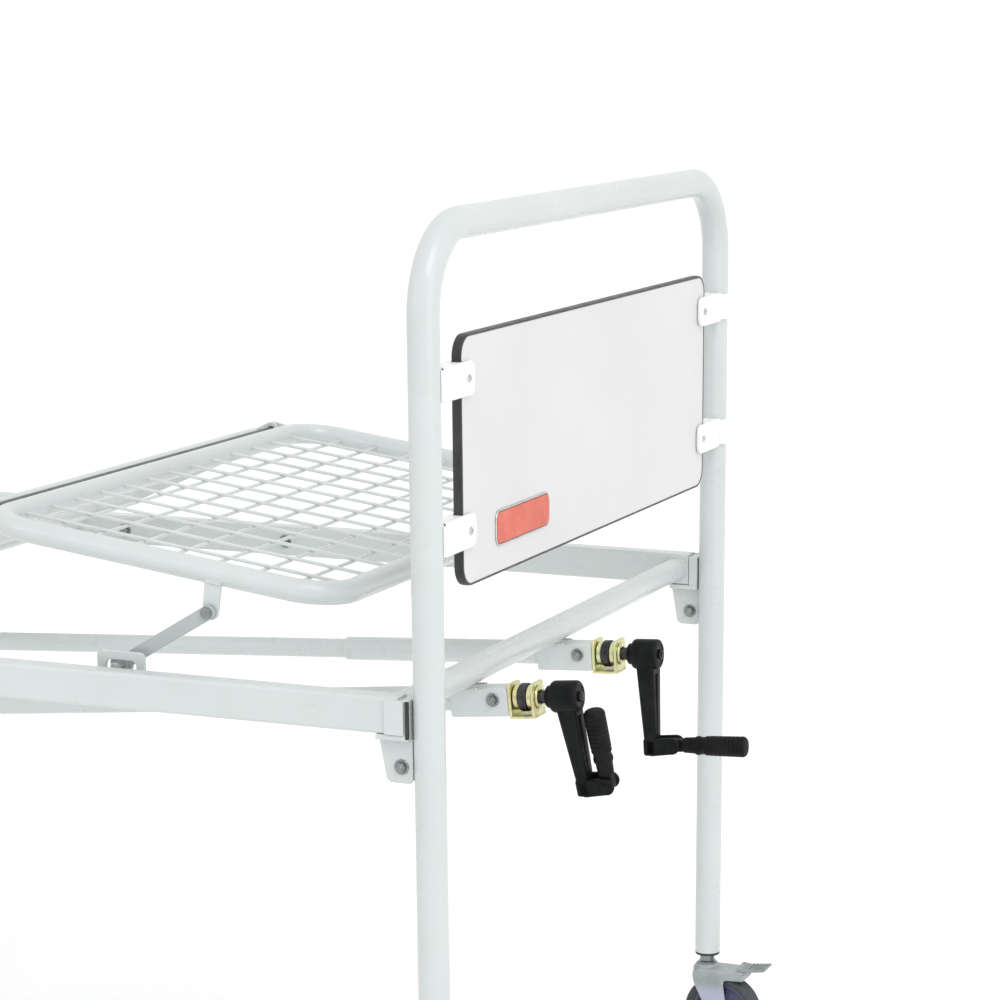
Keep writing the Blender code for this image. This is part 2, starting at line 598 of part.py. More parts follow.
    # folding grip on a cross pin at the arm's end
    pivot = turn @ Vector((0.028, 0, -0.103))
    hinge = bpy.data.objects.new(prefix + "_grip_hinge", None)
    hinge.empty_display_size = 0.02
    PARTS.objects.link(hinge)
    hinge.parent = base
    hinge.location = pivot
    hinge.rotation_euler = (turn.to_euler().x, 0.0, 0.0)
    prof = [(0.0, 0.0860), (0.0085, 0.0860), (0.0117, 0.0830), (0.0112, 0.0400), (0.0098, 0.0370), (0.0098, 0.0330),
            (0.0107, 0.0310), (0.0105, 0.0270), (0.0092, 0.0250), (0.0086, 0.0120), (0.0, 0.0120)]
    sleeve = turned(prefix + "_crank_grip", prof, 18)
    place(sleeve, hinge)
    sleeve.rotation_euler = (0, 0.0 if fold else math.radians(90), 0)
    tongue = [(0.0060, 0.0180), (-0.0060, 0.0180)] + ring(0, 0, 0.0075, 10, math.radians(180), math.radians(360), end=True)
    combine(sleeve, plate_xz(prefix + "_grip_tongue", [tongue], 0.0, 0.0120), 'UNION')
    sleeve.modifiers[-1].object.parent = hinge
    sleeve.modifiers[-1].object.rotation_euler = sleeve.rotation_euler
    finish(sleeve, material(prefix + "_crank_grip", (0.02, 0.02, 0.022), 0.5))
    return base


def pin_range(lever_len, start, rest, total, sign, slope):
    """How far the pin strays from a straight, even travel, as (low, high) in the tube's frame."""
    travel = sum_ratio(lever_len, start, total, sign, slope)
    xs, zs = [], []
    for i in range(61):
        a = total * i / 60
        p0 = (math.sin(start + rest) * lever_len * sign, -math.cos(start + rest) * lever_len)
        p = (math.sin(start + a) * lever_len * sign, -math.cos(start + a) * lever_len)
        dx, dz = p[0] - p0[0], p[1] - p0[1]
        ax = dx * math.cos(slope) + dz * math.sin(slope)
        az = -dx * math.sin(slope) + dz * math.cos(slope)
        xs.append(ax - travel * (a - rest))
        zs.append(az)
    return (min(xs), min(zs)), (max(xs), max(zs))


def sum_ratio(lever_len, start, total, sign, slope):
    """The even travel per radian that splits the sine's error over the range."""
    best, keep = None, None
    for k in range(400):
        r = lever_len * (0.88 + 0.0004 * k)
        errs = []
        for i in range(31):
            a = total * i / 30
            p = (math.sin(start + a) * lever_len * sign, -math.cos(start + a) * lever_len)
            errs.append(p[0] * math.cos(slope) + p[1] * math.sin(slope) - sign * r * a)
        span = max(errs) - min(errs)
        if best is None or span < best:
            best, keep = span, sign * r
    return keep


# the backrest's pin goes towards the head as it rises, the thigh's towards the foot
back_slope = pin_track(BACK_LEVER, BACK_SWING, BACK_HUB, BACK_HINGE_X)
knee_slope = pin_track(KNEE_LEVER, KNEE_SWING, KNEE_HUB, THIGH_HINGE_X)
a_b = -BACK_SWING + BACK_REST
a_k = -KNEE_SWING + THIGH_REST
back_pin_world = (BACK_HINGE_X - BACK_LEVER * math.sin(a_b), DECK_Z - BACK_LEVER * math.cos(a_b))
knee_pin_world = (THIGH_HINGE_X + KNEE_LEVER * math.sin(a_k), DECK_Z - KNEE_LEVER * math.cos(a_k))

back_stray = pin_range(BACK_LEVER, -BACK_SWING, BACK_REST, 2 * BACK_SWING, -1, back_slope)
knee_stray = pin_range(KNEE_LEVER, -KNEE_SWING, THIGH_REST, 2 * KNEE_SWING, 1, knee_slope)

crank_unit("backrest", BACK_CRANK_Y, BACK_HUB, BACK_LEVER, BACK_SWING, BACK_HINGE_X, back_pin_world, False, back_stray)
crank_unit("knee", KNEE_CRANK_Y, KNEE_HUB, KNEE_LEVER, KNEE_SWING, THIGH_HINGE_X, knee_pin_world, True, knee_stray)


# -------------------------------------------------------------------- castors
def castor(tag, x, y):
    swivel = joint_frame(f"swivel_{tag}", (x, y, 0))
    name = f"castor_fork_{tag}"
    side = [(-0.014, 0.1150), (-0.014, 0.0930), (TRAIL - 0.013, 0.0440), (TRAIL, 0.0385), (TRAIL + 0.011, 0.0440),
            (TRAIL + 0.004, 0.0960), (TRAIL + 0.030, 0.0975), (TRAIL + 0.030, 0.1020), (TRAIL + 0.012, 0.1150)]
    ob = plate_xz(name, [side], 0.0, 0.036)
    place(ob, swivel)
    gap = [(-0.040, 0.1035), (-0.040, -0.010), (0.100, -0.010), (0.100, 0.1035)]
    combine(ob, plate_xz(name + "_gap", [gap], 0.0, 0.029), 'DIFFERENCE')
    combine(ob, rod(name + "_axle", (TRAIL, -0.0165, WHEEL_R), (TRAIL, 0.0165, WHEEL_R), 0.0050, 12), 'UNION')
    combine(ob, rod(name + "_stem", (0, 0, 0.110), (0, 0, POST_FOOT_Z - 0.0005), 0.0105, 16), 'UNION')
    finish(ob, material(name, (0.42, 0.44, 0.47), 0.4, 0.3))
    w = WHEEL_W / 2
    prof = [(0.0056, 0.0135), (0.0150, 0.0135), (0.0170, 0.0080), (0.0370, 0.0080), (0.0400, w), (0.0470, w), (WHEEL_R, w - 0.0040),
            (WHEEL_R, -w + 0.0040), (0.0470, -w), (0.0400, -w), (0.0370, -0.0080), (0.0170, -0.0080), (0.0150, -0.0135), (0.0056, -0.0135)]
    wheel = turned(f"castor_wheel_{tag}", prof, 28, closed=True)
    place(wheel, swivel)
    wheel.location = (TRAIL, 0, WHEEL_R)
    wheel.rotation_euler = (math.radians(90), 0, 0)
    finish(wheel, material(f"castor_wheel_{tag}", (0.05, 0.05, 0.055), 0.6))
    pivot = bpy.data.objects.new(f"pedal_pivot_{tag}", None)
    PARTS.objects.link(pivot)
    pivot.parent = swivel
    pivot.location = (TRAIL + 0.026, 0, 0.1130)
    out = [(-0.0040, -0.0035), (0.0060, -0.0035), (0.0340, 0.0010), (0.0350, 0.0045), (0.0060, 0.0015), (-0.0040, 0.0030)]
    pedal = plate_xz(f"brake_pedal_{tag}", [out], 0.0, 0.030)
    place(pedal, pivot)
    finish(pedal, material(f"brake_pedal_{tag}", (0.10, 0.10, 0.11), 0.5))


for end, xp in (("foot", XF), ("head", XH)):
    for tag, s in (("near", -1), ("far", 1)):
        castor(f"{end}_{tag}", xp, s * POST_Y)
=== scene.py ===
"""Looks of the two-crank ward bed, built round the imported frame. Metres, +Z up."""
import math

import bmesh
import bpy
from mathutils import Matrix, Vector


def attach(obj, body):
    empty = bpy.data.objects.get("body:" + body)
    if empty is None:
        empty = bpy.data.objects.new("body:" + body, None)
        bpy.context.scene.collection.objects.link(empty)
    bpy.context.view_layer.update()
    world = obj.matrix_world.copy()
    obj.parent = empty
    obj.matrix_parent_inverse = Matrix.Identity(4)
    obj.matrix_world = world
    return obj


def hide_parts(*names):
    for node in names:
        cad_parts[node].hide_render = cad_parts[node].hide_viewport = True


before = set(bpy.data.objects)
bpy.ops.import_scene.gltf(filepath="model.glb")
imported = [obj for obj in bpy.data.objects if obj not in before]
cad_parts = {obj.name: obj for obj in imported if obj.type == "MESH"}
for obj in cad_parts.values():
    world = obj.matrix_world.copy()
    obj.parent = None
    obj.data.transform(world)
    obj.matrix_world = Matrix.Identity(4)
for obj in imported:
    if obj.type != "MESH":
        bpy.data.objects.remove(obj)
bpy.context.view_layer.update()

# ---------------------------------------------------------------- dimensions
XF = 0.9448
XH = XF - 2.040
POST_Y, POST_R, POST_FOOT_Z, BOW_TOP_Z, BOW_BEND_R = 0.420, 0.016, 0.130, 1.094, 0.085
ZR, RAIL_H, RAIL_W, RAIL_Y, RAIL_END_GAP = 0.623, 0.038, 0.025, 0.4235, 0.028
CROSS_R, CROSS_X = 0.014, 0.045
PANEL_T, PANEL_HALF_W, PANEL_Z0, PANEL_Z1, PANEL_CORNER_R = 0.0095, 0.356, 0.7390, 0.9885, 0.022
CLIP_Z, CLIP_H = (0.796, 0.946), 0.034
FRAME_R, DECK_Y, DECK_Z, DECK_BEND_R, BAR_OFF = 0.0125, 0.369, ZR + 0.035, 0.050, 0.026
THIGH_X, BACK_X = XF - 0.840, XF - 1.090
THIGH_LEN, LEG_LEN, BACK_LEN = 0.3070, 0.4325, 0.840
THIGH_REST, LEG_REST, BACK_REST = math.radians(23.19), math.radians(7.52), math.radians(40.0)
EYE_R, EYE_Y, EYE_T, ROD_R = 0.0105, 0.328, 0.005, 0.0050
BACK_CRANK_Y, KNEE_CRANK_Y = 0.035, -0.210
BACK_HUB, KNEE_HUB = (XF + 0.058, ZR - 0.024), (XF + 0.060, ZR - 0.020)
BACK_LEVER, KNEE_LEVER = 0.140, 0.145
BACK_SWING, KNEE_SWING, PIN_R = math.radians(35.0), math.radians(15.0), 0.005
STRUT_B, STRUT_H, STRUT_LEN, STRUT_REST = 0.3025, 0.0386, 0.1197, math.radians(30.63)
STRUT_Y, STRUT_T = 0.385, 0.005
WHEEL_R, TRAIL = 0.050, 0.022
BACK_SLOPE, KNEE_SLOPE = 0.059460, 0.096950


def T(x, y, z):
    return Matrix.Translation((x, y, z))


def RX(a):
    return Matrix.Rotation(a, 4, 'X')


def RY(a):
    return Matrix.Rotation(a, 4, 'Y')


def RZ(a):
    return Matrix.Rotation(a, 4, 'Z')


I4 = Matrix.Identity(4)
BACK = T(BACK_X, 0, DECK_Z) @ RY(BACK_REST)
THIGH = T(THIGH_X, 0, DECK_Z) @ RY(-THIGH_REST)
LEG = THIGH @ T(THIGH_LEN, 0, 0) @ RY(THIGH_REST + LEG_REST)
SEAT = T(0, 0, DECK_Z)


# ----------------------------------------------------------------- materials
def new_mat(name, color, rough, metal=0.0, coat=0.0, coat_rough=0.1, spec=0.5, ior=None):
    m = bpy.data.materials.new(name)
    m.use_nodes = True
    nt = m.node_tree
    b = nt.nodes["Principled BSDF"]
    b.inputs["Base Color"].default_value = (*color, 1)
    b.inputs["Roughness"].default_value = rough
    b.inputs["Metallic"].default_value = metal
    b.inputs["Coat Weight"].default_value = coat
    b.inputs["Coat Roughness"].default_value = coat_rough
    b.inputs["Specular IOR Level"].default_value = spec
    return m, nt, b


def coords(nt, scale=(1, 1, 1)):
    t = nt.nodes.new("ShaderNodeTexCoord")
    mp = nt.nodes.new("ShaderNodeMapping")
    mp.inputs["Scale"].default_value = scale
    nt.links.new(t.outputs["Object"], mp.inputs["Vector"])
    return mp.outputs["Vector"]


def noise(nt, vec, scale, detail=3.0, rough=0.55, distort=0.0):
    n = nt.nodes.new("ShaderNodeTexNoise")
    n.inputs["Scale"].default_value = scale
    n.inputs["Detail"].default_value = detail
    n.inputs["Roughness"].default_value = rough
    n.inputs["Distortion"].default_value = distort
    nt.links.new(vec, n.inputs["Vector"])
    return n.outputs["Fac"]


def ramp(nt, fac, stops):
    r = nt.nodes.new("ShaderNodeValToRGB")
    el = r.color_ramp.elements
    el[0].position, el[0].color = stops[0][0], (*stops[0][1], 1)
    el[1].position, el[1].color = stops[-1][0], (*stops[-1][1], 1)
    for p, c in stops[1:-1]:
        e = el.new(p)
        e.color = (*c, 1)
    nt.links.new(fac, r.inputs["Fac"])
    return r.outputs["Color"]


def grey(a):
    return (a, a, a)


def mix(nt, fac, a, b, kind='MIX'):
    n = nt.nodes.new("ShaderNodeMix")
    n.data_type = 'RGBA'
    n.blend_type = kind
    for sock, v in ((n.inputs[0], fac), (n.inputs[6], a), (n.inputs[7], b)):
        if isinstance(v, (int, float)):
            sock.default_value = v
        elif isinstance(v, tuple):
            sock.default_value = (*v, 1)
        else:
            nt.links.new(v, sock)
    return n.outputs[2]


def maths(nt, op, a, b=None, clamp=False):
    n = nt.nodes.new("ShaderNodeMath")
    n.operation = op
    n.use_clamp = clamp
    for sock, v in ((n.inputs[0], a), (n.inputs[1], b)):
        if v is None:
            continue
        if isinstance(v, (int, float)):
            sock.default_value = v
        else:
            nt.links.new(v, sock)
    return n.outputs[0]


def span(nt, fac, lo, hi):
    n = nt.nodes.new("ShaderNodeMapRange")
    n.inputs["From Min"].default_value = 0.3
    n.inputs["From Max"].default_value = 0.7
    n.inputs["To Min"].default_value = lo
    n.inputs["To Max"].default_value = hi
    nt.links.new(fac, n.inputs["Value"])
    return n.outputs[0]


def bump(nt, b, layers):
    """Layers of (height, strength, distance), the first the coarsest."""
    last = None
    for h, strength, dist in layers:
        n = nt.nodes.new("ShaderNodeBump")
        n.inputs["Strength"].default_value = strength
        n.inputs["Distance"].default_value = dist
        nt.links.new(h, n.inputs["Height"])
        if last is not None:
            nt.links.new(last, n.inputs["Normal"])
        last = n.outputs["Normal"]
    nt.links.new(last, b.inputs["Normal"])


def wear_mask(nt, vec, lo=0.53, hi=0.60, scale=60):
    """Edges, broken up by noise."""
    g = nt.nodes.new("ShaderNodeNewGeometry")
    edge = nt.nodes.new("ShaderNodeMapRange")
    edge.inputs["From Min"].default_value = lo
    edge.inputs["From Max"].default_value = hi
    nt.links.new(g.outputs["Pointiness"], edge.inputs["Value"])
    patch = ramp(nt, noise(nt, vec, scale, 4, 0.6), [(0.46, grey(0)), (0.60, grey(1))])
    return maths(nt, 'MULTIPLY', edge.outputs[0], patch, True)


def powder_coat(name, light=(0.565, 0.602, 0.597), shade=(0.53, 0.567, 0.562)):
    m, nt, b = new_mat(name, light, 0.3, 0.0, 0.35, 0.12)
    v = coords(nt)
    tone = ramp(nt, noise(nt, v, 5.0, 3), [(0.35, shade), (0.65, light)])
    film = ramp(nt, noise(nt, v, 26.0, 2, 0.45), [(0.50, grey(0)), (0.80, grey(0.16))])
    tone = mix(nt, film, tone, (0.50, 0.52, 0.49))
    scuff = ramp(nt, noise(nt, coords(nt, (1, 1, 3)), 45.0, 3, 0.5), [(0.62, grey(0)), (0.80, grey(0.14))])
    tone = mix(nt, scuff, tone, (0.42, 0.43, 0.42))
    worn = wear_mask(nt, v, 0.60, 0.75, 80)
    tone = mix(nt, maths(nt, 'MULTIPLY', worn, 0.22), tone, (0.42, 0.43, 0.43))
    nt.links.new(tone, b.inputs["Base Color"])
    nt.links.new(span(nt, noise(nt, v, 40.0, 4), 0.24, 0.40), b.inputs["Roughness"])
    bump(nt, b, [(noise(nt, v, 420.0, 2), 0.10, 0.0004), (noise(nt, v, 1500.0, 2), 0.06, 0.0002)])
    return m


WHITE = powder_coat("white_powder_coat")
WIRE = powder_coat("wire_powder_coat", (0.62, 0.65, 0.645), (0.55, 0.58, 0.575))
# painted shade: a darker copy of the white powder coat, standing in for the shade the leg struts sit in under the deck
SHADED_STRUT_COAT = powder_coat("strut_white_coat_painted_shade", (0.42, 0.465, 0.46), (0.36, 0.405, 0.40))


def laminate():
    m, nt, b = new_mat("panel_laminate", (0.80, 0.79, 0.80), 0.34, 0.0, 0.2, 0.15)
    v = coords(nt)
    tone = ramp(nt, noise(nt, v, 3.2, 2), [(0.35, (0.625, 0.618, 0.622)), (0.65, (0.665, 0.655, 0.660))])
    fleck = ramp(nt, noise(nt, v, 700.0, 3, 0.7), [(0.35, grey(0.90)), (0.60, grey(1.0))])
    tone = mix(nt, 0.5, tone, mix(nt, 1.0, tone, fleck, 'MULTIPLY'))
    rub = ramp(nt, noise(nt, coords(nt, (1, 1.0, 5.0)), 22.0, 7, 0.7), [(0.62, grey(0)), (0.72, grey(0.22))])
    tone = mix(nt, rub, tone, (0.54, 0.53, 0.535))
    nt.links.new(tone, b.inputs["Base Color"])
    nt.links.new(span(nt, noise(nt, v, 18.0, 5), 0.28, 0.42), b.inputs["Roughness"])
    bump(nt, b, [(noise(nt, v, 900.0, 3), 0.08, 0.0003)])
    return m


def moulded(name, dark, light, rough=(0.4, 0.55), grain=1100.0, strength=0.14, wear=None, coat=0.0, skirt=None, spec=0.5):
    m, nt, b = new_mat(name, light, rough[0], 0.0, coat, spec=spec)
    v = coords(nt)
    tone = ramp(nt, noise(nt, v, 38.0, 4), [(0.35, dark), (0.65, light)])
    if skirt:
        tone = mix(nt, below(nt, skirt[0], skirt[1]), tone, skirt[2])
    if wear:
        tone = mix(nt, maths(nt, 'MULTIPLY', wear_mask(nt, v, 0.54, 0.62, 140), 0.7), tone, wear)
    nt.links.new(tone, b.inputs["Base Color"])
    nt.links.new(span(nt, noise(nt, v, 60.0, 4), *rough), b.inputs["Roughness"])
    bump(nt, b, [(noise(nt, v, grain, 3), strength, 0.0003)])
    return m


def below(nt, z_lo, z_hi):
    """1 under z_lo, fading to 0 at z_hi, in the piece's own rest height."""
    t = nt.nodes.new("ShaderNodeTexCoord")
    x = nt.nodes.new("ShaderNodeSeparateXYZ")
    r = nt.nodes.new("ShaderNodeMapRange")
    r.inputs["From Min"].default_value = z_lo
    r.inputs["From Max"].default_value = z_hi
    r.inputs["To Min"].default_value = 1.0
    r.inputs["To Max"].default_value = 0.0
    nt.links.new(t.outputs["Object"], x.inputs["Vector"])
    nt.links.new(x.outputs["Z"], r.inputs["Value"])
    return r.outputs[0]


def metal(name, dark, light, rough=(0.22, 0.38), stretch=(1, 1, 1), scale=60.0, tint=None):
    m, nt, b = new_mat(name, light, rough[0], 1.0)
    v = coords(nt)
    tone = ramp(nt, noise(nt, v, scale, 5, 0.6, 0.6), [(0.3, dark), (0.7, light)])
    if tint:
        tone = mix(nt, ramp(nt, noise(nt, v, 24.0, 3, 0.5, 1.4), [(0.42, grey(0)), (0.62, grey(0.65))]), tone, tint)
    nt.links.new(tone, b.inputs["Base Color"])
    nt.links.new(span(nt, noise(nt, v, scale * 2, 4), *rough), b.inputs["Roughness"])
    bump(nt, b, [(noise(nt, coords(nt, stretch), 500.0, 3), 0.08, 0.0003)])
    return m


PANEL = laminate()
BAND = moulded("edge_band_black", (0.018, 0.018, 0.02), (0.035, 0.035, 0.038), (0.35, 0.5), 700, 0.1, (0.12, 0.12, 0.12))
CLIP = moulded("clip_white_nylon", (0.78, 0.785, 0.78), (0.84, 0.845, 0.84), (0.38, 0.5), 900, 0.1)
STEEL = metal("bright_steel", (0.48, 0.48, 0.50), (0.68, 0.68, 0.70), (0.22, 0.36), (1, 1, 14))
ZINC = metal("yellow_zinc", (0.58, 0.53, 0.26), (0.82, 0.79, 0.50), (0.28, 0.44), (1, 1, 1), 70.0, (0.62, 0.70, 0.40))
GREY_STEEL = metal("grey_green_steel", (0.20, 0.23, 0.225), (0.32, 0.36, 0.35), (0.30, 0.46), (1, 1, 1), 70.0)
DARK_STEEL = metal("dark_pin_steel", (0.13, 0.145, 0.14), (0.21, 0.23, 0.225), (0.34, 0.50), (1, 1, 10), 60.0)
BLACK_STEEL = metal("black_oiled_steel", (0.035, 0.035, 0.04), (0.09, 0.09, 0.095), (0.32, 0.5))
ENAMEL = moulded("crank_black_enamel", (0.005, 0.0055, 0.006), (0.011, 0.012, 0.0125), (0.34, 0.50), 480, 0.18, (0.030, 0.030, 0.030), 0.0, None, 0.10)
GRIP = moulded("grip_black_plastic", (0.005, 0.0055, 0.006), (0.011, 0.0115, 0.012), (0.44, 0.60), 1300, 0.2, (0.025, 0.025, 0.025), 0.0, None, 0.10)
HOUSING = moulded("castor_housing_grey", (0.25, 0.285, 0.285), (0.34, 0.38, 0.38), (0.34, 0.48), 900, 0.12, (0.50, 0.52, 0.53), 0.0, (0.078, 0.092, (0.37, 0.38, 0.48)))
TYRE = moulded("castor_tyre_rubber", (0.030, 0.034, 0.040), (0.055, 0.060, 0.070), (0.55, 0.75), 420, 0.25, (0.22, 0.22, 0.21))
HUB = moulded("castor_hub_navy", (0.050, 0.052, 0.120), (0.080, 0.084, 0.175), (0.34, 0.46), 900, 0.1)
PEDAL = moulded("pedal_grey_green", (0.18, 0.20, 0.20), (0.27, 0.30, 0.30), (0.4, 0.55), 800, 0.15, (0.45, 0.47, 0.47))
RUBBER = moulded("rubber_black", (0.02, 0.02, 0.021), (0.04, 0.04, 0.042), (0.55, 0.7), 600, 0.2)
PLATE_RED = moulded("blank_plate_red", (0.56, 0.085, 0.045), (0.66, 0.125, 0.065), (0.34, 0.46), 900, 0.06, None, 0.1)


# ------------------------------------------------------------------ building
def rot_to(d):
    return Vector(d).to_track_quat('Z', 'X').to_matrix().to_4x4()


def circle(r, n):
    return [(r * math.cos(math.tau * i / n), r * math.sin(math.tau * i / n)) for i in range(n)]


def arc(cx, cy, r, a0, a1, n):
    return [(cx + r * math.cos(a0 + (a1 - a0) * i / n), cy + r * math.sin(a0 + (a1 - a0) * i / n)) for i in range(n + 1)]


def rrect(x0, x1, y0, y1, r, n=6):
    pts = []
    for cx, cy, a in ((x1 - r, y0 + r, -90), (x1 - r, y1 - r, 0), (x0 + r, y1 - r, 90), (x0 + r, y0 + r, 180)):
        pts += arc(cx, cy, r, math.radians(a), math.radians(a + 90), n)
    return pts


class Build:
    """Collects closed shells into one mesh."""

    def __init__(self):
        self.bm = bmesh.new()

    def take(self, bm, M=I4):
        bmesh.ops.transform(bm, matrix=M, verts=bm.verts)
        me = bpy.data.meshes.new("shell")
        bm.to_mesh(me)
        bm.free()
        self.bm.from_mesh(me)
        bpy.data.meshes.remove(me)
        return self

    def sweep(self, pts, profile, closed=False, up=(0, 0, 1), M=I4):
        """A closed profile swept along points, kept square to up."""
        bm = bmesh.new()
        pts = [Vector(p) for p in pts]
        n, rings = len(pts), []
        up = Vector(up)
        side_last = None
        for i, p in enumerate(pts):
            a = pts[(i - 1) % n] if (closed or i > 0) else p
            c = pts[(i + 1) % n] if (closed or i < n - 1) else p
            t = ((p - a).normalized() if p != a else Vector()) + ((c - p).normalized() if p != c else Vector())
            t.normalize()
            side = t.cross(up)
            if side.length < 1e-4:
                side = side_last if side_last is not None else t.cross(Vector((1, 0, 0)))
            side.normalize()
            if side_last is not None and side.dot(side_last) < 0 and abs(side.dot(side_last)) > 0.7:
                side = -side
            side_last = side
            v = side.cross(t).normalized()
            rings.append([bm.verts.new(p + side * x + v * y) for x, y in profile])
        k = len(profile)
        for i in range(n if closed else n - 1):
            r0, r1 = rings[i], rings[(i + 1) % n]
            for j in range(k):
                bm.faces.new((r0[j], r0[(j + 1) % k], r1[(j + 1) % k], r1[j]))
        if not closed:
            bm.faces.new(rings[0][::-1])
            bm.faces.new(rings[-1])
        bmesh.ops.recalc_face_normals(bm, faces=bm.faces)
        return self.take(bm, M)

    def lathe(self, profile, M=I4, steps=32):
        """(radius, height) points turned about local Z; ends at radius 0 are closed."""
        bm = bmesh.new()
        rings = []
        for r, z in profile:
            if r < 1e-6:
                rings.append([bm.verts.new((0, 0, z))])
            else:
                rings.append([bm.verts.new((r * math.cos(math.tau * i / steps), r * math.sin(math.tau * i / steps), z)) for i in range(steps)])
        pairs = list(zip(rings, rings[1:]))
        if profile[0][0] > 1e-6 and profile[-1][0] > 1e-6:
            pairs.append((rings[-1], rings[0]))
        for a, b in pairs:
            for i in range(steps):
                j = (i + 1) % steps
                if len(a) == 1:
                    bm.faces.new((a[0], b[i], b[j]))
                elif len(b) == 1:
                    bm.faces.new((a[i], a[j], b[0]))
                else:
                    bm.faces.new((a[i], a[j], b[j], b[i]))
        bmesh.ops.recalc_face_normals(bm, faces=bm.faces)
        return self.take(bm, M)

    def plate(self, outlines, t, M=I4, edge=0.0006):
        """A flat plate in local XY, centred on Z, with softened edges; inner outlines are holes."""
        cu = bpy.data.curves.new("outline", 'CURVE')
        cu.dimensions = '2D'
        cu.fill_mode = 'BOTH'
        cu.extrude = t / 2 - edge
        cu.bevel_depth = edge
        cu.bevel_resolution = 2
        cu.offset = -edge
        for pts in outlines:
            sp = cu.splines.new('POLY')
            sp.points.add(len(pts) - 1)
            for q, co in zip(sp.points, pts):
                q.co = (co[0], co[1], 0.0, 1.0)
            sp.use_cyclic_u = True
        ob = bpy.data.objects.new("outline", cu)
        bpy.context.scene.collection.objects.link(ob)
        bpy.context.view_layer.update()
        me = bpy.data.meshes.new_from_object(ob.evaluated_get(bpy.context.evaluated_depsgraph_get()))
        bpy.data.objects.remove(ob, do_unlink=True)
        bpy.data.curves.remove(cu)
        bm = bmesh.new()
        bm.from_mesh(me)
        bpy.data.meshes.remove(me)
        bmesh.ops.remove_doubles(bm, verts=bm.verts, dist=0.00002)
        bmesh.ops.recalc_face_normals(bm, faces=bm.faces)
        return self.take(bm, M)

    def block(self, lo, hi, bevel=0.001, seg=3, M=I4, taper=None):
        lo, hi = Vector(lo), Vector(hi)
        bm = bmesh.new()
        bmesh.ops.create_cube(bm, size=1.0, matrix=Matrix.Translation((lo + hi) / 2) @ Matrix.Diagonal((*(hi - lo), 1)))
        if taper:
            for v in bm.verts:
                v.co = taper(v.co)
        bmesh.ops.bevel(bm, geom=list(bm.edges), offset=bevel, segments=seg, profile=0.5, affect='EDGES', clamp_overlap=True)
        return self.take(bm, M)

    def hexa(self, M, across=0.010, h=0.005, washer=0.0, dome=True):
        """A hexagon head on a washer, its foot at the local origin, rising along Z."""
        if washer:
            self.lathe([(0, 0), (washer, 0), (washer, 0.0009), (washer - 0.0004, 0.0013), (0, 0.0013)], M, 28)
        r = across / math.sqrt(3)
        bm = bmesh.new()
        z0 = 0.0011 if washer else 0.0
        rings = []
        for z, k in ((z0, 1.0), (z0 + h - 0.0008, 1.0), (z0 + h, 0.90)):
            rings.append([bm.verts.new((r * k * math.cos(math.tau * i / 6), r * k * math.sin(math.tau * i / 6), z)) for i in range(6)])
        for a, b in zip(rings, rings[1:]):
            for i in range(6):
                bm.faces.new((a[i], a[(i + 1) % 6], b[(i + 1) % 6], b[i]))
        bm.faces.new(rings[0][::-1])
        bm.faces.new(rings[-1])
        bmesh.ops.recalc_face_normals(bm, faces=bm.faces)
        bmesh.ops.bevel(bm, geom=list(bm.edges), offset=0.00035, segments=2, profile=0.5, affect='EDGES')
        self.take(bm, M)
        if dome:
            self.lathe([(0, z0 + h - 0.0004), (r * 0.55, z0 + h - 0.0004), (r * 0.55, z0 + h + 0.0006), (r * 0.45, z0 + h + 0.0012), (0, z0 + h + 0.0014)], M, 20)
        return self

    def dome(self, M, r=0.006, h=0.003):
        pts = [(0, 0), (r, 0)] + [(r * math.cos(math.pi / 2 * i / 6), 0.0008 + (h - 0.0008) * math.sin(math.pi / 2 * i / 6)) for i in range(6)] + [(0, h)]
        return self.lathe(pts, M, 24)

    def bead(self, pts, r=0.0016, M=I4, closed=False, wave=0.0004):
        """A weld bead with a rippled surface."""
        bm = bmesh.new()
        pts = [Vector(p) for p in pts]
        dense, step = [], 0.0012
        seq = pts + ([pts[0]] if closed else [])
        for a, b in zip(seq, seq[1:]):
            k = max(1, int((b - a).length / step))
            dense += [a.lerp(b, i / k) for i in range(k)]
        if not closed:
            dense.append(seq[-1])
        rings, n, last = [], len(dense), None
        for i, p in enumerate(dense):
            a = dense[(i - 1) % n] if (closed or i) else p
            c = dense[(i + 1) % n] if (closed or i < n - 1) else p
            t = (c - a).normalized()
            s = t.cross(Vector((0.31, 0.17, 0.93))) if last is None else last - t * last.dot(t)
            s.normalize()
            last = s
            v = t.cross(s)
            rr = r + wave * math.sin(i * 1.9)
            if not closed and i in (0, n - 1):
                rr *= 0.4
            rings.append([bm.verts.new(p + rr * (s * math.cos(math.tau * q / 8) + v * math.sin(math.tau * q / 8))) for q in range(8)])
        for i in range(n if closed else n - 1):
            a, b = rings[i], rings[(i + 1) % n]
            for q in range(8):
                bm.faces.new((a[q], a[(q + 1) % 8], b[(q + 1) % 8], b[q]))
        if not closed:
            bm.faces.new(rings[0][::-1])
            bm.faces.new(rings[-1])
        bmesh.ops.recalc_face_normals(bm, faces=bm.faces)
        return self.take(bm, M)

    def done(self, name, body, mat, slot, replaces=(), angle=38):
        me = bpy.data.meshes.new(name)
        self.bm.to_mesh(me)
        self.bm.free()
        ob = bpy.data.objects.new(name, me)
        bpy.context.scene.collection.objects.link(ob)
        me.materials.append(mat)
        me.shade_smooth()
        me.set_sharp_from_angle(angle=math.radians(angle))
        w = ob.modifiers.new("normals", 'WEIGHTED_NORMAL')
        w.keep_sharp = True
        w.weight = 60
        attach(ob, body)
        if replaces:
            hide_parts(*replaces)
        return ob


def yz(x):
    """Puts a plate drawn in XY upright across the bed: X to Y, Y to Z, at x."""
    return Matrix(((0, 0, 1, x), (1, 0, 0, 0), (0, 1, 0, 0), (0, 0, 0, 1)))


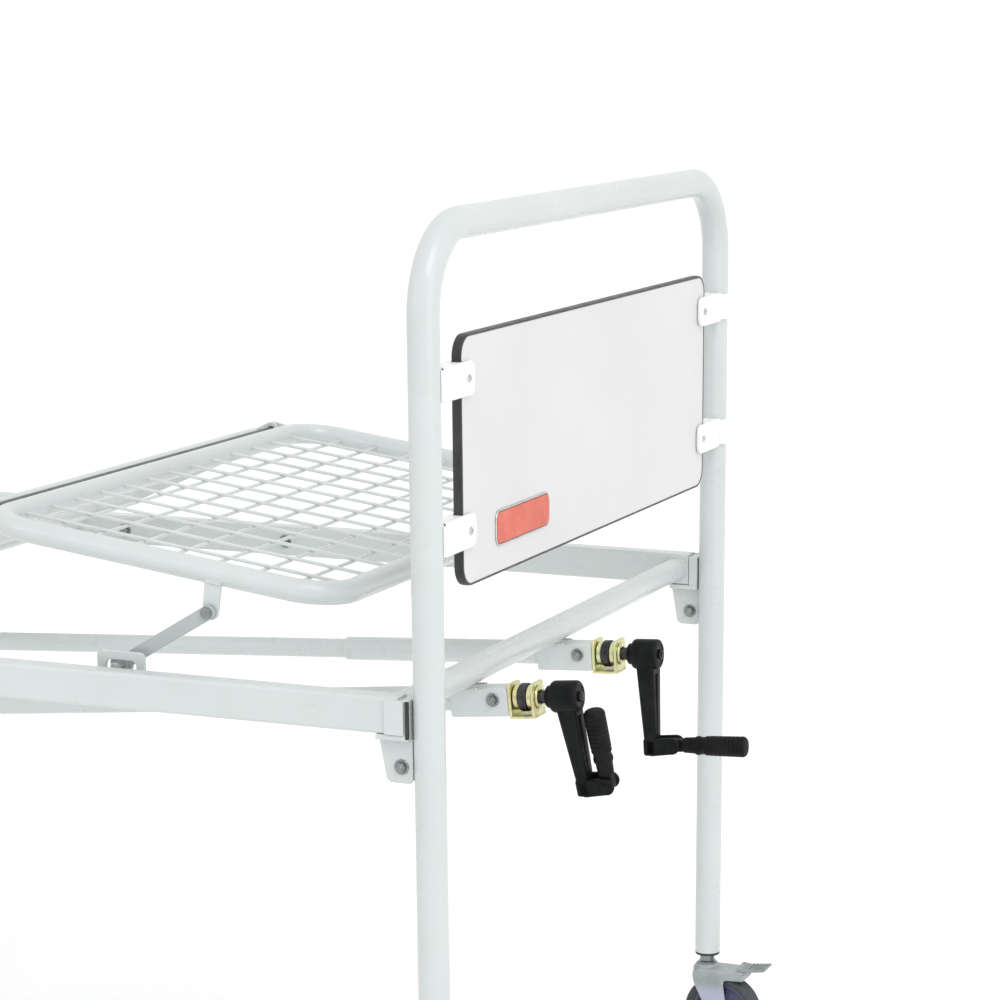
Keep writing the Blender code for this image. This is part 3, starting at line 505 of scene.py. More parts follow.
def xz(y):
    """Puts a plate drawn in XY upright along the bed, in the XZ plane at y."""
    return T(0, y, 0) @ RX(math.radians(90))


ENDS = (("foot", XF, 1), ("head", XH, -1))
SIDES = (("near", -1), ("far", 1))


# ---------------------------------------------------------------- end bows
def bow(end, x, out):
    s, t = POST_Y - BOW_BEND_R, BOW_TOP_Z - BOW_BEND_R
    left = arc(-s, t, BOW_BEND_R, math.pi, math.pi / 2, 22)
    right = arc(s, t, BOW_BEND_R, math.pi / 2, 0.0, 22)
    pts = [(x, -POST_Y, POST_FOOT_Z), (x, -POST_Y, 0.45), (x, -POST_Y, 0.75)] + [(x, y, z) for y, z in left + right] + \
        [(x, POST_Y, 0.75), (x, POST_Y, 0.45), (x, POST_Y, POST_FOOT_Z)]
    b = Build().sweep(pts, circle(POST_R, 48), up=(1, 0, 0))
    return b.done(f"{end}_bow_tube", "root", WHITE, "white_coat", [f"{end}_end_bow"], 60)


def panel(end, x_in, x_out):
    lo, hi = min(x_in, x_out), max(x_in, x_out)
    mid, band = (lo + hi) / 2, 0.0013
    inner = rrect(-PANEL_HALF_W + band, PANEL_HALF_W - band, PANEL_Z0 + band, PANEL_Z1 - band, PANEL_CORNER_R - band, 14)
    Build().plate([inner], PANEL_T - 0.0003, yz(mid), 0.0004).done(f"{end}_panel_board", "root", PANEL, "panel_grey", [f"{end}_panel"])
    ring = rrect(-PANEL_HALF_W + 0.0012, PANEL_HALF_W - 0.0012, PANEL_Z0 + 0.0012, PANEL_Z1 - 0.0012, PANEL_CORNER_R - 0.0012, 14)
    h = PANEL_T / 2
    crown = [(0.0002 + 0.0010 * math.cos(a) ** 0.6, (h + 0.0002) * math.sin(a)) for a in [math.pi * (i / 12 - 0.5) for i in range(1, 12)]]
    prof = [(-0.0016, -h - 0.0002), (0.0002, -h - 0.0002)] + crown + [(0.0002, h + 0.0002), (-0.0016, h + 0.0002)]
    Build().sweep([(mid, y, z) for y, z in ring], [(x_, y_) for x_, y_ in prof], True, (1, 0, 0)).done(f"{end}_panel_edge_band", "root", BAND, "panel_grey")


def clip(end, tag, s, level, z, xp, x_lo, x_hi):
    """Two jaws over the board's edge, a bridge to the post and a saddle round it."""
    b = Build()
    y_post = POST_Y - POST_R - 0.0008
    for xa, xb in ((x_lo - 0.0045, x_lo - 0.0004), (x_hi + 0.0004, x_hi + 0.0045)):
        h = CLIP_H / 2
        tongue = [(s * y_post, z - h), (s * y_post, z + h)]
        y_in = PANEL_HALF_W - 0.026
        end_arc = arc(s * (y_in + 0.010), z + h - 0.010, 0.010, math.pi / 2, math.pi / 2 + s * math.pi / 2, 8) + \
            arc(s * (y_in + 0.010), z - h + 0.010, 0.010, math.pi / 2 + s * math.pi / 2, math.pi / 2 + s * math.pi, 8)
        b.plate([tongue + end_arc], xb - xa, yz((xa + xb) / 2), 0.0012)
    ya, yb = sorted((s * (PANEL_HALF_W + 0.0006), s * y_post))
    b.block((x_lo - 0.0043, ya, z - CLIP_H / 2 + 0.0003), (x_hi + 0.0043, yb, z + CLIP_H / 2 - 0.0003), 0.0008)
    # saddle: part of a collar round the post
    face = 180 if s > 0 else 0
    outer = arc(0, 0, POST_R + 0.0032, math.radians(face - 72), math.radians(face + 72), 20)
    inner = arc(0, 0, POST_R + 0.0003, math.radians(face + 72), math.radians(face - 72), 20)
    turn = T(xp, s * POST_Y, z) @ RZ(math.radians(90))
    b.plate([outer + inner], CLIP_H - 0.004, turn, 0.0007)
    b.done(f"{end}_panel_clip_{tag}_{level}", "root", CLIP, "clip_white", [f"{end}_clip_{tag}_{level}"])
    sc = Build()
    for side, x in ((1, x_hi + 0.0045), (-1, x_lo - 0.0045)):
        M = T(x, s * (PANEL_HALF_W - 0.011), z) @ RY(math.radians(90 * side))
        sc.lathe([(0, 0), (0.0042, 0), (0.0042, 0.0006), (0.0034, 0.0014), (0.0016, 0.0017), (0.0014, 0.0008), (0, 0.0008)], M, 24)
    sc.done(f"{end}_clip_screw_{tag}_{level}", "root", STEEL, "pin_steel")


for end, xp, out in ENDS:
    bow(end, xp, out)
    x_in, x_out = xp, xp + out * PANEL_T
    panel(end, x_in, x_out)
    lo, hi = min(x_in, x_out), max(x_in, x_out)
    for tag, s in SIDES:
        for level, z in zip(("lower", "upper"), CLIP_Z):
            clip(end, tag, s, level, z, xp, lo, hi)
        plug = Build()
        plug.lathe([(0.0108, POST_FOOT_Z - 0.0004), (0.0156, POST_FOOT_Z - 0.0004), (0.0156, POST_FOOT_Z - 0.0030), (0.0150, POST_FOOT_Z - 0.0036), (0.0108, POST_FOOT_Z - 0.0036)][::-1],
                   T(xp, s * POST_Y, 0), 36)
        plug.done(f"{end}_post_plug_{tag}", "root", RUBBER, "pedal_black")

# blank name plate, unlettered
Build().plate([rrect(-0.272, -0.134, 0.770, 0.802, 0.008, 8)], 0.0016, yz(XF + PANEL_T + 0.0009), 0.0005).done("foot_blank_plate", "root", PLATE_RED, "panel_grey")
rim = Build()
rim.sweep([(XF + PANEL_T + 0.0007, y, z) for y, z in rrect(-0.2735, -0.1325, 0.7685, 0.8035, 0.0095, 8)], circle(0.0009, 10), True, (1, 0, 0))
rim.done("foot_blank_plate_rim", "root", STEEL, "pin_steel")


# -------------------------------------------------------- side and cross rails
def rails():
    for tag, s in SIDES:
        prof = rrect(-RAIL_W / 2, RAIL_W / 2, -RAIL_H / 2, RAIL_H / 2, 0.0038, 6)
        b = Build().sweep([(XH + RAIL_END_GAP, s * RAIL_Y, ZR), (XH + 0.5, s * RAIL_Y, ZR), (0, s * RAIL_Y, ZR), (XF - 0.5, s * RAIL_Y, ZR), (XF - RAIL_END_GAP, s * RAIL_Y, ZR)], prof)
        b.done(f"side_rail_tube_{tag}", "root", WHITE, "white_coat", [f"side_rail_{tag}"])
        inner = Build()
        for d in (0.823, 0.585):
            M = T(XF - d, s * (RAIL_Y - RAIL_W / 2), ZR) @ RX(math.radians(90 * s))
            inner.hexa(M, 0.011, 0.0045, 0.0085)
        inner.done(f"rail_bolts_{tag}", "root", GREY_STEEL, "pin_steel")
    for end, xp, out in ENDS:
        x = xp - out * CROSS_X
        y = RAIL_Y - RAIL_W / 2 - 0.0003
        b = Build().lathe([(0, -y), (CROSS_R, -y), (CROSS_R, -y + 0.02), (CROSS_R, y - 0.02), (CROSS_R, y), (0, y)], T(x, 0, ZR) @ RX(math.radians(-90)), 44)
        b.done(f"{end}_cross_tube", "root", WHITE, "white_coat", [f"{end}_cross_rail"])
        w = Build()
        for s in (-1, 1):
            w.bead([(x + (CROSS_R + 0.0004) * math.cos(a), s * (y - 0.0006), ZR + (CROSS_R + 0.0004) * math.sin(a)) for a in [math.tau * i / 28 for i in range(28)]], 0.0017, I4, True)
        w.done(f"{end}_cross_welds", "root", WHITE, "white_coat")


rails()


def rail_bracket(end, xp, out, tag, s):
    """A foot plate and web under the rail end, with an end hook beside the post."""
    x = lambda d: xp - out * d
    name = f"rail_bracket_{end}_{tag}"
    b = Build()
    web = [(x(0.0163), ZR - 0.0235), (x(0.0163), ZR - 0.066), (x(0.0200), ZR - 0.070), (x(0.0410), ZR - 0.070), (x(0.0455), ZR - 0.0665), (x(0.053), ZR - 0.0235)]
    b.plate([web], 0.005, xz(s * RAIL_Y), 0.0008)
    for side in (-1, 1):
        cheek = [(x(0.0170), ZR - 0.0190), (x(0.0170), ZR - 0.0240), (x(0.0520), ZR - 0.0240), (x(0.0520), ZR - 0.0190)]
        b.plate([cheek], 0.0022, xz(s * RAIL_Y + side * 0.0112), 0.0004)
    xs = sorted((x(0.0165), x(0.0525)))
    b.block((xs[0], s * RAIL_Y - RAIL_W / 2, ZR - 0.0243), (xs[1], s * RAIL_Y + RAIL_W / 2, ZR - RAIL_H / 2 - 0.0003), 0.0008)
    # end hook between the rail's end and the post
    xe = sorted((x(0.0166), x(0.0277)))
    b.block((xe[0], s * RAIL_Y - RAIL_W / 2 + 0.001, ZR - 0.0235), (xe[1], s * RAIL_Y + RAIL_W / 2 - 0.001, ZR + 0.0165), 0.0012)
    # outer pressed plate over the rail's end
    yo = s * (RAIL_Y + RAIL_W / 2 + 0.0011)
    b.plate([rrect(*sorted((x(0.0210), x(0.0420))), ZR - 0.0185, ZR + 0.0170, 0.002, 4)], 0.0018, xz(yo), 0.0005)
    b.done(f"{name}_plates", "root", WHITE, "white_coat", [name])
    # painted shadow: a black block standing in for the shaded gap between the end hook and the post
    g = Build()
    xg = sorted((x(0.0163), x(0.0196)))
    g.block((xg[0], s * (RAIL_Y + 0.0110) - 0.0020, ZR - 0.0225), (xg[1], s * (RAIL_Y + 0.0110) + 0.0020, ZR + 0.0160), 0.0006)
    g.done(f"{name}_painted_shadow_block", "root", RUBBER, "pedal_black")
    q = Build()
    for side in (-1, 1):
        q.hexa(T(x(0.0285), s * RAIL_Y + side * 0.0025, ZR - 0.053) @ RX(math.radians(-90 * side)), 0.010, 0.0045, 0.0078)
    q.done(f"{name}_bolt", "root", GREY_STEEL, "screw_black")
    w = Build()
    w.bead([(x(0.0185), s * RAIL_Y + 0.0030, ZR - 0.0250), (x(0.0510), s * RAIL_Y + 0.0030, ZR - 0.0250)], 0.0013)
    w.bead([(x(0.0185), s * RAIL_Y - 0.0030, ZR - 0.0250), (x(0.0510), s * RAIL_Y - 0.0030, ZR - 0.0250)], 0.0013)
    w.done(f"{name}_welds", "root", WHITE, "white_coat")


for end, xp, out in ENDS:
    for tag, s in SIDES:
        rail_bracket(end, xp, out, tag, s)


# --------------------------------------------------------------- deck sections
def deck_loop(x0, x1):
    return [(x, y, 0.0) for x, y in rrect(x0, x1, -DECK_Y, DECK_Y, DECK_BEND_R, 14)]


def even(pts, gap=0.06):
    out = []
    n = len(pts)
    for i in range(n):
        a, b = Vector(pts[i]), Vector(pts[(i + 1) % n])
        k = max(1, int((b - a).length / gap))
        out += [a.lerp(b, j / k) for j in range(k)]
    return out


def eye_outline(bar_x, axis_x):
    s = 1 if bar_x > axis_x else -1
    r = EYE_R
    tip = arc(axis_x, 0, r, math.radians(90), math.radians(270), 16) if s > 0 else arc(axis_x, 0, r, math.radians(-90), math.radians(90), 16)
    bar = [(bar_x, -r * 0.85), (bar_x, r * 0.85)] if s > 0 else [(bar_x, r * 0.85), (bar_x, -r * 0.85)]
    return tip + bar


def section(name, body, M, x0, x1, eyes, node, extra=None):
    b = Build().sweep(even(deck_loop(x0, x1)), circle(FRAME_R, 32), True, (0, 0, 1), M)
    for axis_x, y_in in eyes:
        bar_x = x0 if abs(x0 - axis_x) < abs(x1 - axis_x) else x1
        for side in (-1, 1):
            y = side * (y_in + EYE_T / 2)
            b.plate([eye_outline(bar_x, axis_x), circle(0.0056, 20)[::-1] if axis_x == 0 else [(axis_x + p, q) for p, q in circle(0.0056, 20)][::-1]],
                    EYE_T, M @ xz(y), 0.0006)
            d = 1 if bar_x > axis_x else -1
            xw = bar_x - d * (FRAME_R + 0.0002)
            b.bead([(xw, y - 0.0022, 0.0075), (xw + d * 0.0012, y + 0.0022, 0.0080)], 0.0013, M)
            b.bead([(xw, y - 0.0022, -0.0075), (xw + d * 0.0012, y + 0.0022, -0.0080)], 0.0013, M)
    if extra:
        extra(b)
    return b.done(name, body, WHITE, "white_coat", [node], 48)


def lever_outline(x_bar, pin):
    d = Vector((pin[0] - x_bar, pin[1]))
    u = d.normalized()
    n = Vector((-u.y, u.x))
    a = math.atan2(n.y, n.x)
    ends = [tuple(Vector(pin) + 0.010 * Vector((math.cos(t), math.sin(t)))) for t in [a - math.pi * i / 16 for i in range(17)]]
    if (Vector(ends[8]) - Vector((x_bar, 0))).length < d.length:
        ends = [tuple(Vector(pin) + 0.010 * Vector((math.cos(t), math.sin(t)))) for t in [a + math.pi * i / 16 for i in range(17)]]
    top = Vector((x_bar, 0.0))
    return [tuple(top - n * 0.011), tuple(top + n * 0.011)] + ends


back_pin = (BACK_LEVER * math.sin(BACK_SWING), -BACK_LEVER * math.cos(BACK_SWING))
knee_pin = (-KNEE_LEVER * math.sin(KNEE_SWING), -KNEE_LEVER * math.cos(KNEE_SWING))


def lever(b, M, x_bar, pin, y):
    b.plate([lever_outline(x_bar, pin)], 0.006, M @ xz(y), 0.0009)
    b.lathe([(0, -0.0138), (PIN_R - 0.0008, -0.0138), (PIN_R, -0.0130), (PIN_R, 0.0130), (PIN_R - 0.0008, 0.0138), (0, 0.0138)],
            M @ T(pin[0], y, pin[1]) @ RX(math.radians(90)), 24)
    b.lathe([(PIN_R, 0.0030), (0.0085, 0.0030), (0.0078, 0.0044), (PIN_R, 0.0044)], M @ T(pin[0], y, pin[1]) @ RX(math.radians(90)), 24)


section("backrest_tubes", "backrest", BACK, -BACK_LEN, -BAR_OFF, [(0.0, EYE_Y)], "backrest_frame",
        lambda b: lever(b, BACK, -BAR_OFF, back_pin, BACK_CRANK_Y))
section("thigh_tubes", "thigh", THIGH, BAR_OFF, THIGH_LEN - BAR_OFF, [(0.0, EYE_Y), (THIGH_LEN, EYE_Y)], "thigh_frame",
        lambda b: lever(b, THIGH, BAR_OFF, knee_pin, KNEE_CRANK_Y))


def lugs(b):
    for side in (-1, 1):
        pts = arc(STRUT_B, -STRUT_H, 0.009, math.radians(180), math.radians(360), 16) + [(STRUT_B + 0.0095, -0.005), (STRUT_B - 0.0095, -0.005)]
        y_pin = side * (STRUT_Y - 0.0065)
        b.plate([pts], 0.004, LEG @ xz(y_pin), 0.0006)
        b.bead([(STRUT_B - 0.0092, y_pin + side * 0.0021, -0.0085), (STRUT_B + 0.0092, y_pin + side * 0.0021, -0.0085)], 0.0013, LEG)


section("leg_tubes", "leg", LEG, BAR_OFF, LEG_LEN, [(0.0, EYE_Y + EYE_T + 0.001)], "leg_frame", lugs)

SEAT_X0, SEAT_X1 = BACK_X + BAR_OFF, THIGH_X - BAR_OFF


def seat_extra(b):
    y = RAIL_Y - RAIL_W / 2 - 0.0003
    for x in (SEAT_X0 + 0.030, SEAT_X1 - 0.030):
        b.lathe([(0, -y), (FRAME_R, -y), (FRAME_R, y), (0, y)], T(x, 0, DECK_Z - 0.0235) @ RX(math.radians(-90)), 32)
        for s in (-1, 1):
            b.bead([(x + (FRAME_R + 0.0003) * math.cos(a), s * (y - 0.0006), DECK_Z - 0.0235 + (FRAME_R + 0.0003) * math.sin(a)) for a in [math.tau * i / 24 for i in range(24)]], 0.0014, I4, True)
            b.bead([(x - 0.011, s * (DECK_Y - 0.002), DECK_Z - 0.0120), (x + 0.011, s * (DECK_Y - 0.002), DECK_Z - 0.0120)], 0.0016)


section("seat_tubes", "root", T(0, 0, DECK_Z), SEAT_X0, SEAT_X1, [(BACK_X, EYE_Y + EYE_T + 0.001), (THIGH_X, EYE_Y + EYE_T + 0.001)], "seat_frame", seat_extra)


def hinge_rod(name, body, M, node):
    y = EYE_Y + 2 * EYE_T + 0.004
    b = Build().lathe([(0, -y), (ROD_R - 0.0008, -y), (ROD_R, -y + 0.0008), (ROD_R, y - 0.0008), (ROD_R - 0.0008, y), (0, y)], M @ RX(math.radians(90)), 28)
    for s in (-1, 1):
        b.lathe([(ROD_R - 0.0002, 0.0), (0.0082, 0.0), (0.0086, 0.0005), (0.0070, 0.0012), (ROD_R - 0.0002, 0.0012)], M @ T(0, s * (y - 0.0026), 0) @ RX(math.radians(-90 * s)), 28)
    b.done(name, body, DARK_STEEL, "pin_steel", [node])


hinge_rod("backrest_pivot_rod", "root", T(BACK_X, 0, DECK_Z), "backrest_hinge_rod")
hinge_rod("thigh_pivot_rod", "root", T(THIGH_X, 0, DECK_Z), "thigh_hinge_rod")
hinge_rod("knee_pivot_rod", "thigh", THIGH @ T(THIGH_LEN, 0, 0), "knee_hinge_rod")


def wires(name, body, M, x0, x1, node):
    """Welded wires at 50 mm, trimmed to the frame's inside and let into it."""
    r, ins, bend = 0.0020, FRAME_R - 0.0035, DECK_BEND_R - FRAME_R
    X0, X1, Y = x0 + ins, x1 - ins, DECK_Y - ins
    pitch = 0.050

    def cut(d, half):
        over = abs(d) - (half - bend)
        return bend - math.sqrt(max(0.0, bend * bend - over * over)) if over > 0 else 0.0

    b = Build()
    nx = max(2, round((X1 - X0) / pitch))
    ny = round(2 * Y / pitch)
    mid, half_x = (X0 + X1) / 2, (X1 - X0) / 2
    for j in range(1, ny):
        y = -Y + 2 * Y * j / ny
        c = cut(y, Y)
        a, e = X0 + c, X1 - c
        k = max(2, int((e - a) / 0.1))
        b.sweep([(a + (e - a) * i / k, y, 0.0017) for i in range(k + 1)], circle(r, 10), False, (0, 0, 1), M)
    for i in range(1, nx):
        x = X0 + (X1 - X0) * i / nx
        c = cut(x - mid, half_x)
        a, e = -Y + c, Y - c
        k = max(2, int((e - a) / 0.1))
        b.sweep([(x, a + (e - a) * q / k, -0.0017) for q in range(k + 1)], circle(r, 10), False, (0, 0, 1), M)
    b.done(name, body, WIRE, "deck_wire", [node], 60)


wires("backrest_wires", "backrest", BACK, -BACK_LEN, -BAR_OFF, "backrest_mesh")
wires("seat_wires", "root", T(0, 0, DECK_Z), SEAT_X0, SEAT_X1, "seat_mesh")
wires("thigh_wires", "thigh", THIGH, BAR_OFF, THIGH_LEN - BAR_OFF, "thigh_mesh")
wires("leg_wires", "leg", LEG, BAR_OFF, LEG_LEN, "leg_mesh")


# ----------------------------------------------------------------- leg supports
pins = Build()
for side in (-1, 1):
    pins.lathe([(0, 0), (0.0035, 0), (0.0035, 0.0104), (0.0060, 0.0106), (0.0065, 0.0112), (0.0060, 0.0125), (0.0040, 0.0130), (0, 0.0130)],
               LEG @ T(STRUT_B, side * (STRUT_Y - 0.0065), -STRUT_H) @ RX(math.radians(-90 * side)), 24)
pins.done("leg_strut_pins", "leg", GREY_STEEL, "pin_steel")

for tag, side in SIDES:
    S = LEG @ T(STRUT_B, side * STRUT_Y, -STRUT_H) @ RY(-STRUT_REST - LEG_REST)
    eye = arc(0, 0, 0.0075, math.radians(-90), math.radians(90), 16)
    low = arc(-STRUT_LEN, 0, 0.0130, math.radians(35), math.radians(325), 26)
    b = Build().plate([eye + low, circle(0.0040, 18)[::-1]], STRUT_T, S @ xz(0), 0.0008)
    y1, y2 = side * 0.001, side * 0.0183
    b.lathe([(0, 0), (0.0040, 0), (0.0040, abs(y2 - y1) - 0.0008), (0.0032, abs(y2 - y1)), (0, abs(y2 - y1))], S @ T(-STRUT_LEN, y1, 0) @ RX(math.radians(-90 * side)), 24)
    b.lathe([(0.0040, 0.0026), (0.0085, 0.0026), (0.0078, 0.0040), (0.0040, 0.0040)], S @ T(-STRUT_LEN, 0, 0) @ RX(math.radians(-90 * side)), 24)
    # the struts wear the painted-shade copy of the white powder coat
    b.done(f"leg_strut_bar_{tag}", f"strut_{tag}", SHADED_STRUT_COAT, "white_coat", [f"leg_strut_{tag}"])
    cap = Build()
    cap.lathe([(0, -0.0023), (0.0060, -0.0023), (0.0060, -0.0029), (0.0040, -0.0033), (0, -0.0034)], S @ T(-STRUT_LEN, 0, 0) @ RX(math.radians(-90 * side)), 24)
    cap.done(f"leg_strut_cap_{tag}", f"strut_{tag}", HOUSING, "castor_housing")
    xa, za = XF - 0.3589, ZR + 0.0170
    hx, hz = 0.0125 + 0.004 + 0.0015, 0.004 + 0.0030
    b = Build().plate([rrect(xa - hx - 0.010, xa + hx + 0.010, za - 0.030, za + hz + 0.009, 0.006, 8), rrect(xa - hx, xa + hx, za - hz, za + hz, 0.0065, 8)[::-1]],
                      0.004, xz(side * (DECK_Y + 0.0290)), 0.0006)
    ys = sorted((side * (DECK_Y + 0.0290), side * (RAIL_Y - RAIL_W / 2 - 0.0003)))
    b.block((xa - hx - 0.004, ys[0], za - 0.029), (xa + hx + 0.004, ys[1], za - hz - 0.004), 0.0010)
    b.done(f"strut_guide_plate_{tag}", "root", WHITE, "white_coat", [f"strut_guide_{tag}"])


# ------------------------------------------------------------------ crank units
AX = RY(math.radians(90))      # turns a lathe's Z to the unit's X


def pin_span(lever_len, start, rest, total, sign, slope):
    best, travel = None, 0.0
    for k in range(400):
        r = lever_len * (0.88 + 0.0004 * k)
        errs = []
        for i in range(31):
            a = total * i / 30
            p = (math.sin(start + a) * lever_len * sign, -math.cos(start + a) * lever_len)
            errs.append(p[0] * math.cos(slope) + p[1] * math.sin(slope) - sign * r * a)
        sp = max(errs) - min(errs)
        if best is None or sp < best:
            best, travel = sp, sign * r
    xs, zs = [], []
    for i in range(61):
        a = total * i / 60
        p0 = (math.sin(start + rest) * lever_len * sign, -math.cos(start + rest) * lever_len)
        p = (math.sin(start + a) * lever_len * sign, -math.cos(start + a) * lever_len)
        dx, dz = p[0] - p0[0], p[1] - p0[1]
        xs.append(dx * math.cos(slope) + dz * math.sin(slope) - travel * (a - rest))
        zs.append(-dx * math.sin(slope) + dz * math.cos(slope))
    return (min(xs), min(zs)), (max(xs), max(zs))


def crank_unit(prefix, y, hub, slope, pin_world, stray, fold):
    M = T(hub[0], y, hub[1]) @ RY(-slope)
    # white channel with folded edges, and the housing tube
    b = Build()
    b.block((-0.127, -0.015, -0.0180), (-0.060, 0.015, 0.0125), 0.0026, 4, M)
    b.lathe([(0.0116, -0.370), (0.0135, -0.370), (0.0135, -0.120), (0.0116, -0.120)], M @ AX, 36)
    b.bead([(-0.1270, 0.0136 * math.cos(a), 0.0136 * math.sin(a)) for a in [math.tau * i / 24 for i in range(24)]], 0.0015, M, True)
    b.bead([(-0.112, -0.0145, 0.0120), (-0.094, -0.0145, 0.0120)], 0.0016, M)
    b.bead([(-0.112, 0.0145, 0.0120), (-0.094, 0.0145, 0.0120)], 0.0016, M)
    b.done(f"{prefix}_drive_housing", "root", WHITE, "white_coat", [f"{prefix}_crank_bracket"])
    q = Build()
    for side in (-1, 1):
        q.hexa(M @ T(-0.077, side * 0.015, 0.0005) @ RX(math.radians(-90 * side)), 0.009, 0.0040, 0.0074)
    q.done(f"{prefix}_bracket_bolts", "root", GREY_STEEL, "screw_black")
    # zinc yoke: two bearing plates with bosses on a floor
    z = Build()
    for x0, x1 in ((-0.0597, -0.0565), (-0.0337, -0.0305)):
        Z = M @ Matrix(((0, 0, 1, (x0 + x1) / 2), (1, 0, 0, 0), (0, 1, 0, 0), (0, 0, 0, 1)))
        z.plate([rrect(-0.015, 0.015, -0.0205, 0.0165, 0.0045, 6), circle(0.0080, 24)[::-1]], x1 - x0, Z, 0.0005)
    z.block((-0.0597, -0.015, -0.0205), (-0.0305, 0.015, -0.0176), 0.0007, 3, M)
    z.lathe([(0.0080, -0.0300), (0.0125, -0.0300), (0.0125, -0.0285), (0.0118, -0.0278), (0.0080, -0.0278)], M @ AX, 32)
    z.done(f"{prefix}_bearing_plates", "root", ZINC, "yoke_zinc", [f"{prefix}_bearing_yoke"])
    # turning: screw, collar
    prof = [(0.0, -0.0203), (0.0070, -0.0203), (0.0070, -0.0405), (0.0142, -0.0405), (0.0150, -0.0413), (0.0150, -0.0487), (0.0142, -0.0495), (0.0070, -0.0495)]
    zt = -0.0620
    while zt > -0.2960:
        prof += [(0.0070, zt), (0.0056, zt - 0.0016), (0.0056, zt - 0.0030), (0.0070, zt - 0.0046)]
        zt -= 0.0050
    prof += [(0.0060, -0.2990), (0.0, -0.2990)]
    Build().lathe(prof, M @ AX, 32).done(f"{prefix}_turning_screw", f"{prefix}_crank", BLACK_STEEL, "screw_black", [f"{prefix}_screw"], 32)
    wz = Build()
    for x0, x1 in ((-0.0400, -0.0347), (-0.0555, -0.0500)):
        wz.lathe([(0.0072, x0), (0.0128, x0), (0.0134, x0 + 0.0006), (0.0134, x1 - 0.0006), (0.0128, x1), (0.0072, x1)], M @ AX, 32)
    wz.done(f"{prefix}_thrust_washers", f"{prefix}_crank", ZINC, "yoke_zinc")
    # sliding drive tube with its slotted fork
    inv = M.inverted()
    lp = inv @ Vector((pin_world[0], y, pin_world[1]))
    lo, hi = stray
    px, cz = lp.x + (lo[0] + hi[0]) / 2, lp.z + (lo[1] + hi[1]) / 2
    w, hh = (hi[0] - lo[0]) / 2 + PIN_R + 0.0030, (hi[1] - lo[1]) / 2 + PIN_R + 0.0020
    near = -0.224 if prefix == "backrest" else -0.150
    b = Build()
    b.lathe([(0, px + w + 0.0180), (0.0110, px + w + 0.0180), (0.0110, near - 0.001), (0.0102, near), (0.0080, near), (0.0080, near - 0.199), (0, near - 0.199)], M @ AX, 36)
    plates = rrect(px - w - 0.007, px + w + 0.0265, cz - hh - 0.007, cz + hh + 0.007, 0.006, 8)
    slot_ = rrect(px - w, px + w, cz - hh, cz + hh, 0.002, 4)
    for off in (-0.0065, 0.0065):
        b.plate([plates, slot_[::-1]], 0.004, M @ xz(off), 0.0006)
    b.block((px + w + 0.0120, -0.0085, -0.010), (px + w + 0.0260, 0.0085, 0.010), 0.0008, 3, M)
    b.bead([(px + w + 0.0262, 0.0112 * math.cos(a), 0.0112 * math.sin(a)) for a in [math.tau * i / 22 for i in range(22)]], 0.0014, M, True)
    b.done(f"{prefix}_push_tube", f"{prefix}_drive", WHITE, "white_coat", [f"{prefix}_drive_tube"])
    # crank head and arm
    turn = RX(math.radians(15.0)) if prefix == "knee" else I4
    A = M @ turn
    b = Build()
    b.lathe([(0, -0.0200), (0.0110, -0.0200), (0.0118, -0.0192), (0.0118, -0.0150), (0.0156, -0.0138), (0.0168, -0.0120), (0.0170, -0.0100), (0.0170, 0.0125),
             (0.0164, 0.0148), (0.0150, 0.0158), (0.0120, 0.0162), (0.0115, 0.0156), (0, 0.0156)], M @ AX, 40)
    b.block((-0.5, -0.5, -0.5), (0.5, 0.5, 0.5), 0.0042, 4, A, taper=lambda c: Vector((
        (0.0125 if c.x > 0 else -0.0095) if c.z > 0 else (0.0092 if c.x > 0 else -0.0050),
        (0.0145 if c.z > 0 else 0.0098) * (1 if c.y > 0 else -1), 0.004 if c.z > 0 else -0.1050)))
    for off in (-0.0087, 0.0087):
        cheek = [(-0.002, -0.0950), (-0.002, -0.1135), (0.004, -0.1150)] + arc(0.028, -0.103, 0.0095, math.radians(-96), math.radians(96), 18)
        b.plate([cheek], 0.0040, A @ xz(off), 0.0010)
    b.block((-0.0060, -0.0107, -0.1150), (0.0100, 0.0107, -0.0950), 0.0030, 4, A)
    for s in (-1, 1):
        b.dome(A @ T(0.028, s * 0.0107, -0.103) @ RX(math.radians(-90 * s)), 0.0048, 0.0018)
    # raised rib down the arm's outer face
    b.block((-0.5, -0.5, -0.5), (0.5, 0.5, 0.5), 0.0009, 3, A, taper=lambda c: Vector((
        ((0.0134 if c.x > 0 else 0.0110) if c.z > 0 else (0.0104 if c.x > 0 else 0.0080)), 0.0030 * (1 if c.y > 0 else -1), -0.022 if c.z > 0 else -0.092)))
    b.done(f"{prefix}_crank_head_and_arm", f"{prefix}_crank", ENAMEL, "crank_black", [f"{prefix}_crank_arm"], 44)
    k = Build()
    k.hexa(M @ T(0.0150, 0, 0) @ AX, 0.0100, 0.0040, 0.0)
    k.done(f"{prefix}_crank_retaining_bolt", f"{prefix}_crank", BLACK_STEEL, "screw_black")
